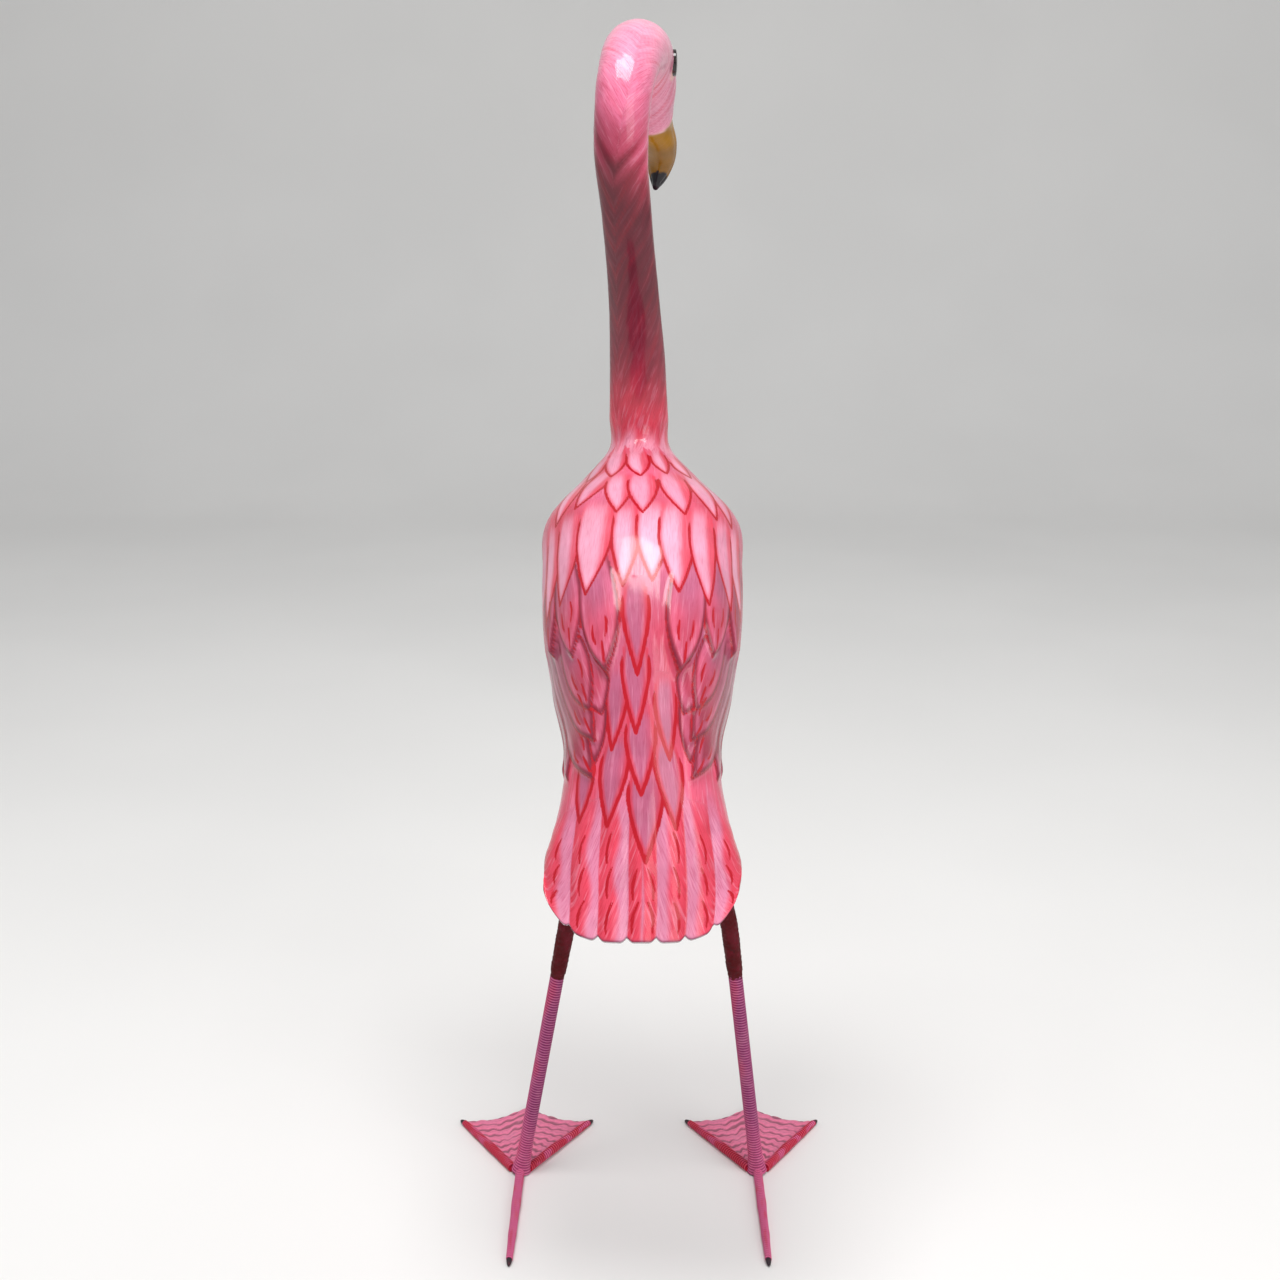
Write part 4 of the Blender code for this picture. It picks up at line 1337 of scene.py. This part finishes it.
@dataclass
class Eye:
    """Domed bead in a round seat: a short plug with a dome that stands out of the head."""

    side: str
    centre: Array
    outward: float
    radius: float = 5.0
    dome: float = 1.1
    depth: float = 2.5
    rings: int = 22
    columns: int = 40

    def build(self) -> bpy.types.Object:
        """Build the bead: a quarter ellipse from the rim to the middle of the dome, turned round
        the axis that it looks along."""
        rim = 0.3 * self.dome
        turn = np.radians(np.linspace(0, 89, self.rings))
        out = np.concatenate([[-self.depth, -self.depth / 2], rim + (self.dome - rim) * np.sin(turn)])
        size = np.concatenate([[self.radius, self.radius], self.radius * np.cos(turn)])
        radii = size[:, None] * np.ones((1, self.columns))
        centres = np.stack([self.outward * out, 0 * out, 0 * out], axis=-1) * MM + self.centre
        across = np.broadcast_to([0.0, self.outward, 0.0], centres.shape)
        over = np.broadcast_to(UP, centres.shape)
        skin = revolve(centres, radii * MM, across, over).reshape(-1, 3)
        paint = washes(Colour.BEAD, (len(skin),))
        faces = tube_faces(len(out), self.columns)
        shell = Shell(skin, faces, paint, skin / MM, np.full(len(skin), FAR))
        return build_mesh("bead_eye_" + self.side, [shell], [GlossyBead().build()])


@dataclass
class Studio:
    """Pale floor that sweeps up behind the figure, soft lights, and the camera."""

    eye: tuple[float, float, float] = (-0.0005, 0.58067, 0.424)
    pitch: float = 15.4
    lens: float = 42.19
    sensor: float = 36.0
    aim: tuple[float, float, float] = (0.0, 0.0, 0.28)
    half_span: float = 6.0
    front: float = 4.0
    bend_start: float = -1.6
    bend_radius: float = 0.7
    wall_top: float = 5.0
    air: tuple[float, float, float, float] = (0.93, 0.94, 0.96, 1.0)
    air_strength: float = 0.42
    lamps: tuple = (
        ("key_light", (0.05, 0.3, 1.55), (1.1, 0.5), 18.5),
        ("fill_light", (-1.3, 1.6, 1.1), (1.3, 1.3), 13.0),
    )

    def floor(self) -> bpy.types.Object:
        """Floor whose far edge rises in a quarter circle to an upright backdrop."""
        turn = np.radians(np.linspace(0, 90, 24))
        back = self.bend_start - self.bend_radius
        rise = np.stack([self.bend_start - self.bend_radius * np.sin(turn),
                         self.bend_radius * (1 - np.cos(turn))], axis=-1)
        line = np.concatenate([[[self.front, 0.0], [0.0, 0.0]], rise, [[back, self.wall_top]]])
        points = np.array([[x, y, z] for y, z in line for x in (-self.half_span, self.half_span)])
        mesh = bpy.data.meshes.new("studio_floor")
        mesh.from_pydata(points.tolist(), [], grid_faces(len(line), 2, 0, False).tolist())
        mesh.shade_smooth()
        nodes = Nodes("studio_floor")
        nodes.link(nodes.shade(Colour.FLOOR, nodes.cloud(3.0, 2.0), (0.97, 1.0)), "Base Color")
        nodes.set(Roughness=0.85)
        mesh.materials.append(nodes.material)
        floor = bpy.data.objects.new("studio_floor", mesh)
        bpy.context.scene.collection.objects.link(floor)
        return floor

    def lamp(self, name: str, place: tuple[float, float, float], size: tuple[float, float],
             power: float) -> None:
        """Oblong soft light that looks at the middle of the figure."""
        light = bpy.data.lights.new(name, "AREA")
        light.shape, light.energy = "RECTANGLE", power
        light.size, light.size_y = size
        lamp = bpy.data.objects.new(name, light)
        lamp.location = place
        to_figure = Vector(self.aim) - Vector(place)
        lamp.rotation_euler = to_figure.to_track_quat("-Z", "Y").to_euler()
        bpy.context.scene.collection.objects.link(lamp)

    def build(self) -> None:
        """Add the floor, the lights and the camera."""
        self.floor()
        for name, place, size, power in self.lamps:
            self.lamp(name, place, size, power)
        world = bpy.data.worlds.new("studio_air")
        world.use_nodes = True
        background = world.node_tree.nodes["Background"]
        background.inputs["Color"].default_value = self.air
        background.inputs["Strength"].default_value = self.air_strength
        bpy.context.scene.world = world
        bpy.context.scene.view_settings.view_transform = "Standard"
        lens = bpy.data.cameras.new("camera")
        lens.lens, lens.sensor_width = self.lens, self.sensor
        camera = bpy.data.objects.new("camera", lens)
        camera.location = self.eye
        camera.rotation_euler = (math.radians(90 - self.pitch), 0.0, math.pi)
        bpy.context.scene.collection.objects.link(camera)
        bpy.context.scene.camera = camera


# Ankle, knee and hip of each leg in millimetres, from the middle of the carving on the floor.
STANCE = {
    "left": ((55.5, 0, 0), (32.5, 3, 126), (11.5, 10, 230)),
    "right": ((-54.5, 0, 0), (-39.5, 3, 128), (-11.5, 10, 230)),
}


def figure_origin() -> Array:
    """Place of the carving's own zero in the frame, from the foot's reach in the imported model."""
    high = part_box("leg_left")[1]
    reach = STANCE["left"][0][0] + Leg.toe_spread / 2
    return np.array([high.x - reach * MM, high.y - Leg.hind_toe * MM, 0.0])


def main() -> None:
    """Build every piece in order, and set up the studio."""
    logging.basicConfig(level=logging.INFO, format="%(message)s")
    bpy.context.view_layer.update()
    origin = figure_origin()

    bird = Carving(origin).build()
    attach(bird, "root")
    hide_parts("bird")
    log.info("carved bird: %d points", len(bird.data.vertices))

    for side, (ankle, knee, hip) in STANCE.items():
        leg = Leg(side, origin, ankle, knee, hip).build()
        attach(leg, "root")
        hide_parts("leg_" + side)
        log.info("leg %s: %d points", side, len(leg.data.vertices))

        low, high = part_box("eye_" + side)
        outward = 1.0 if side == "left" else -1.0
        centre = np.array((low + high) / 2)
        centre[0] = (high.x if outward > 0 else low.x) - outward * Eye.dome * MM
        eye = Eye(side, centre, outward).build()
        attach(eye, "root")
        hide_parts("eye_" + side)
        log.info("eye %s", side)

    Studio().build()


if __name__ == "__main__":
    main()
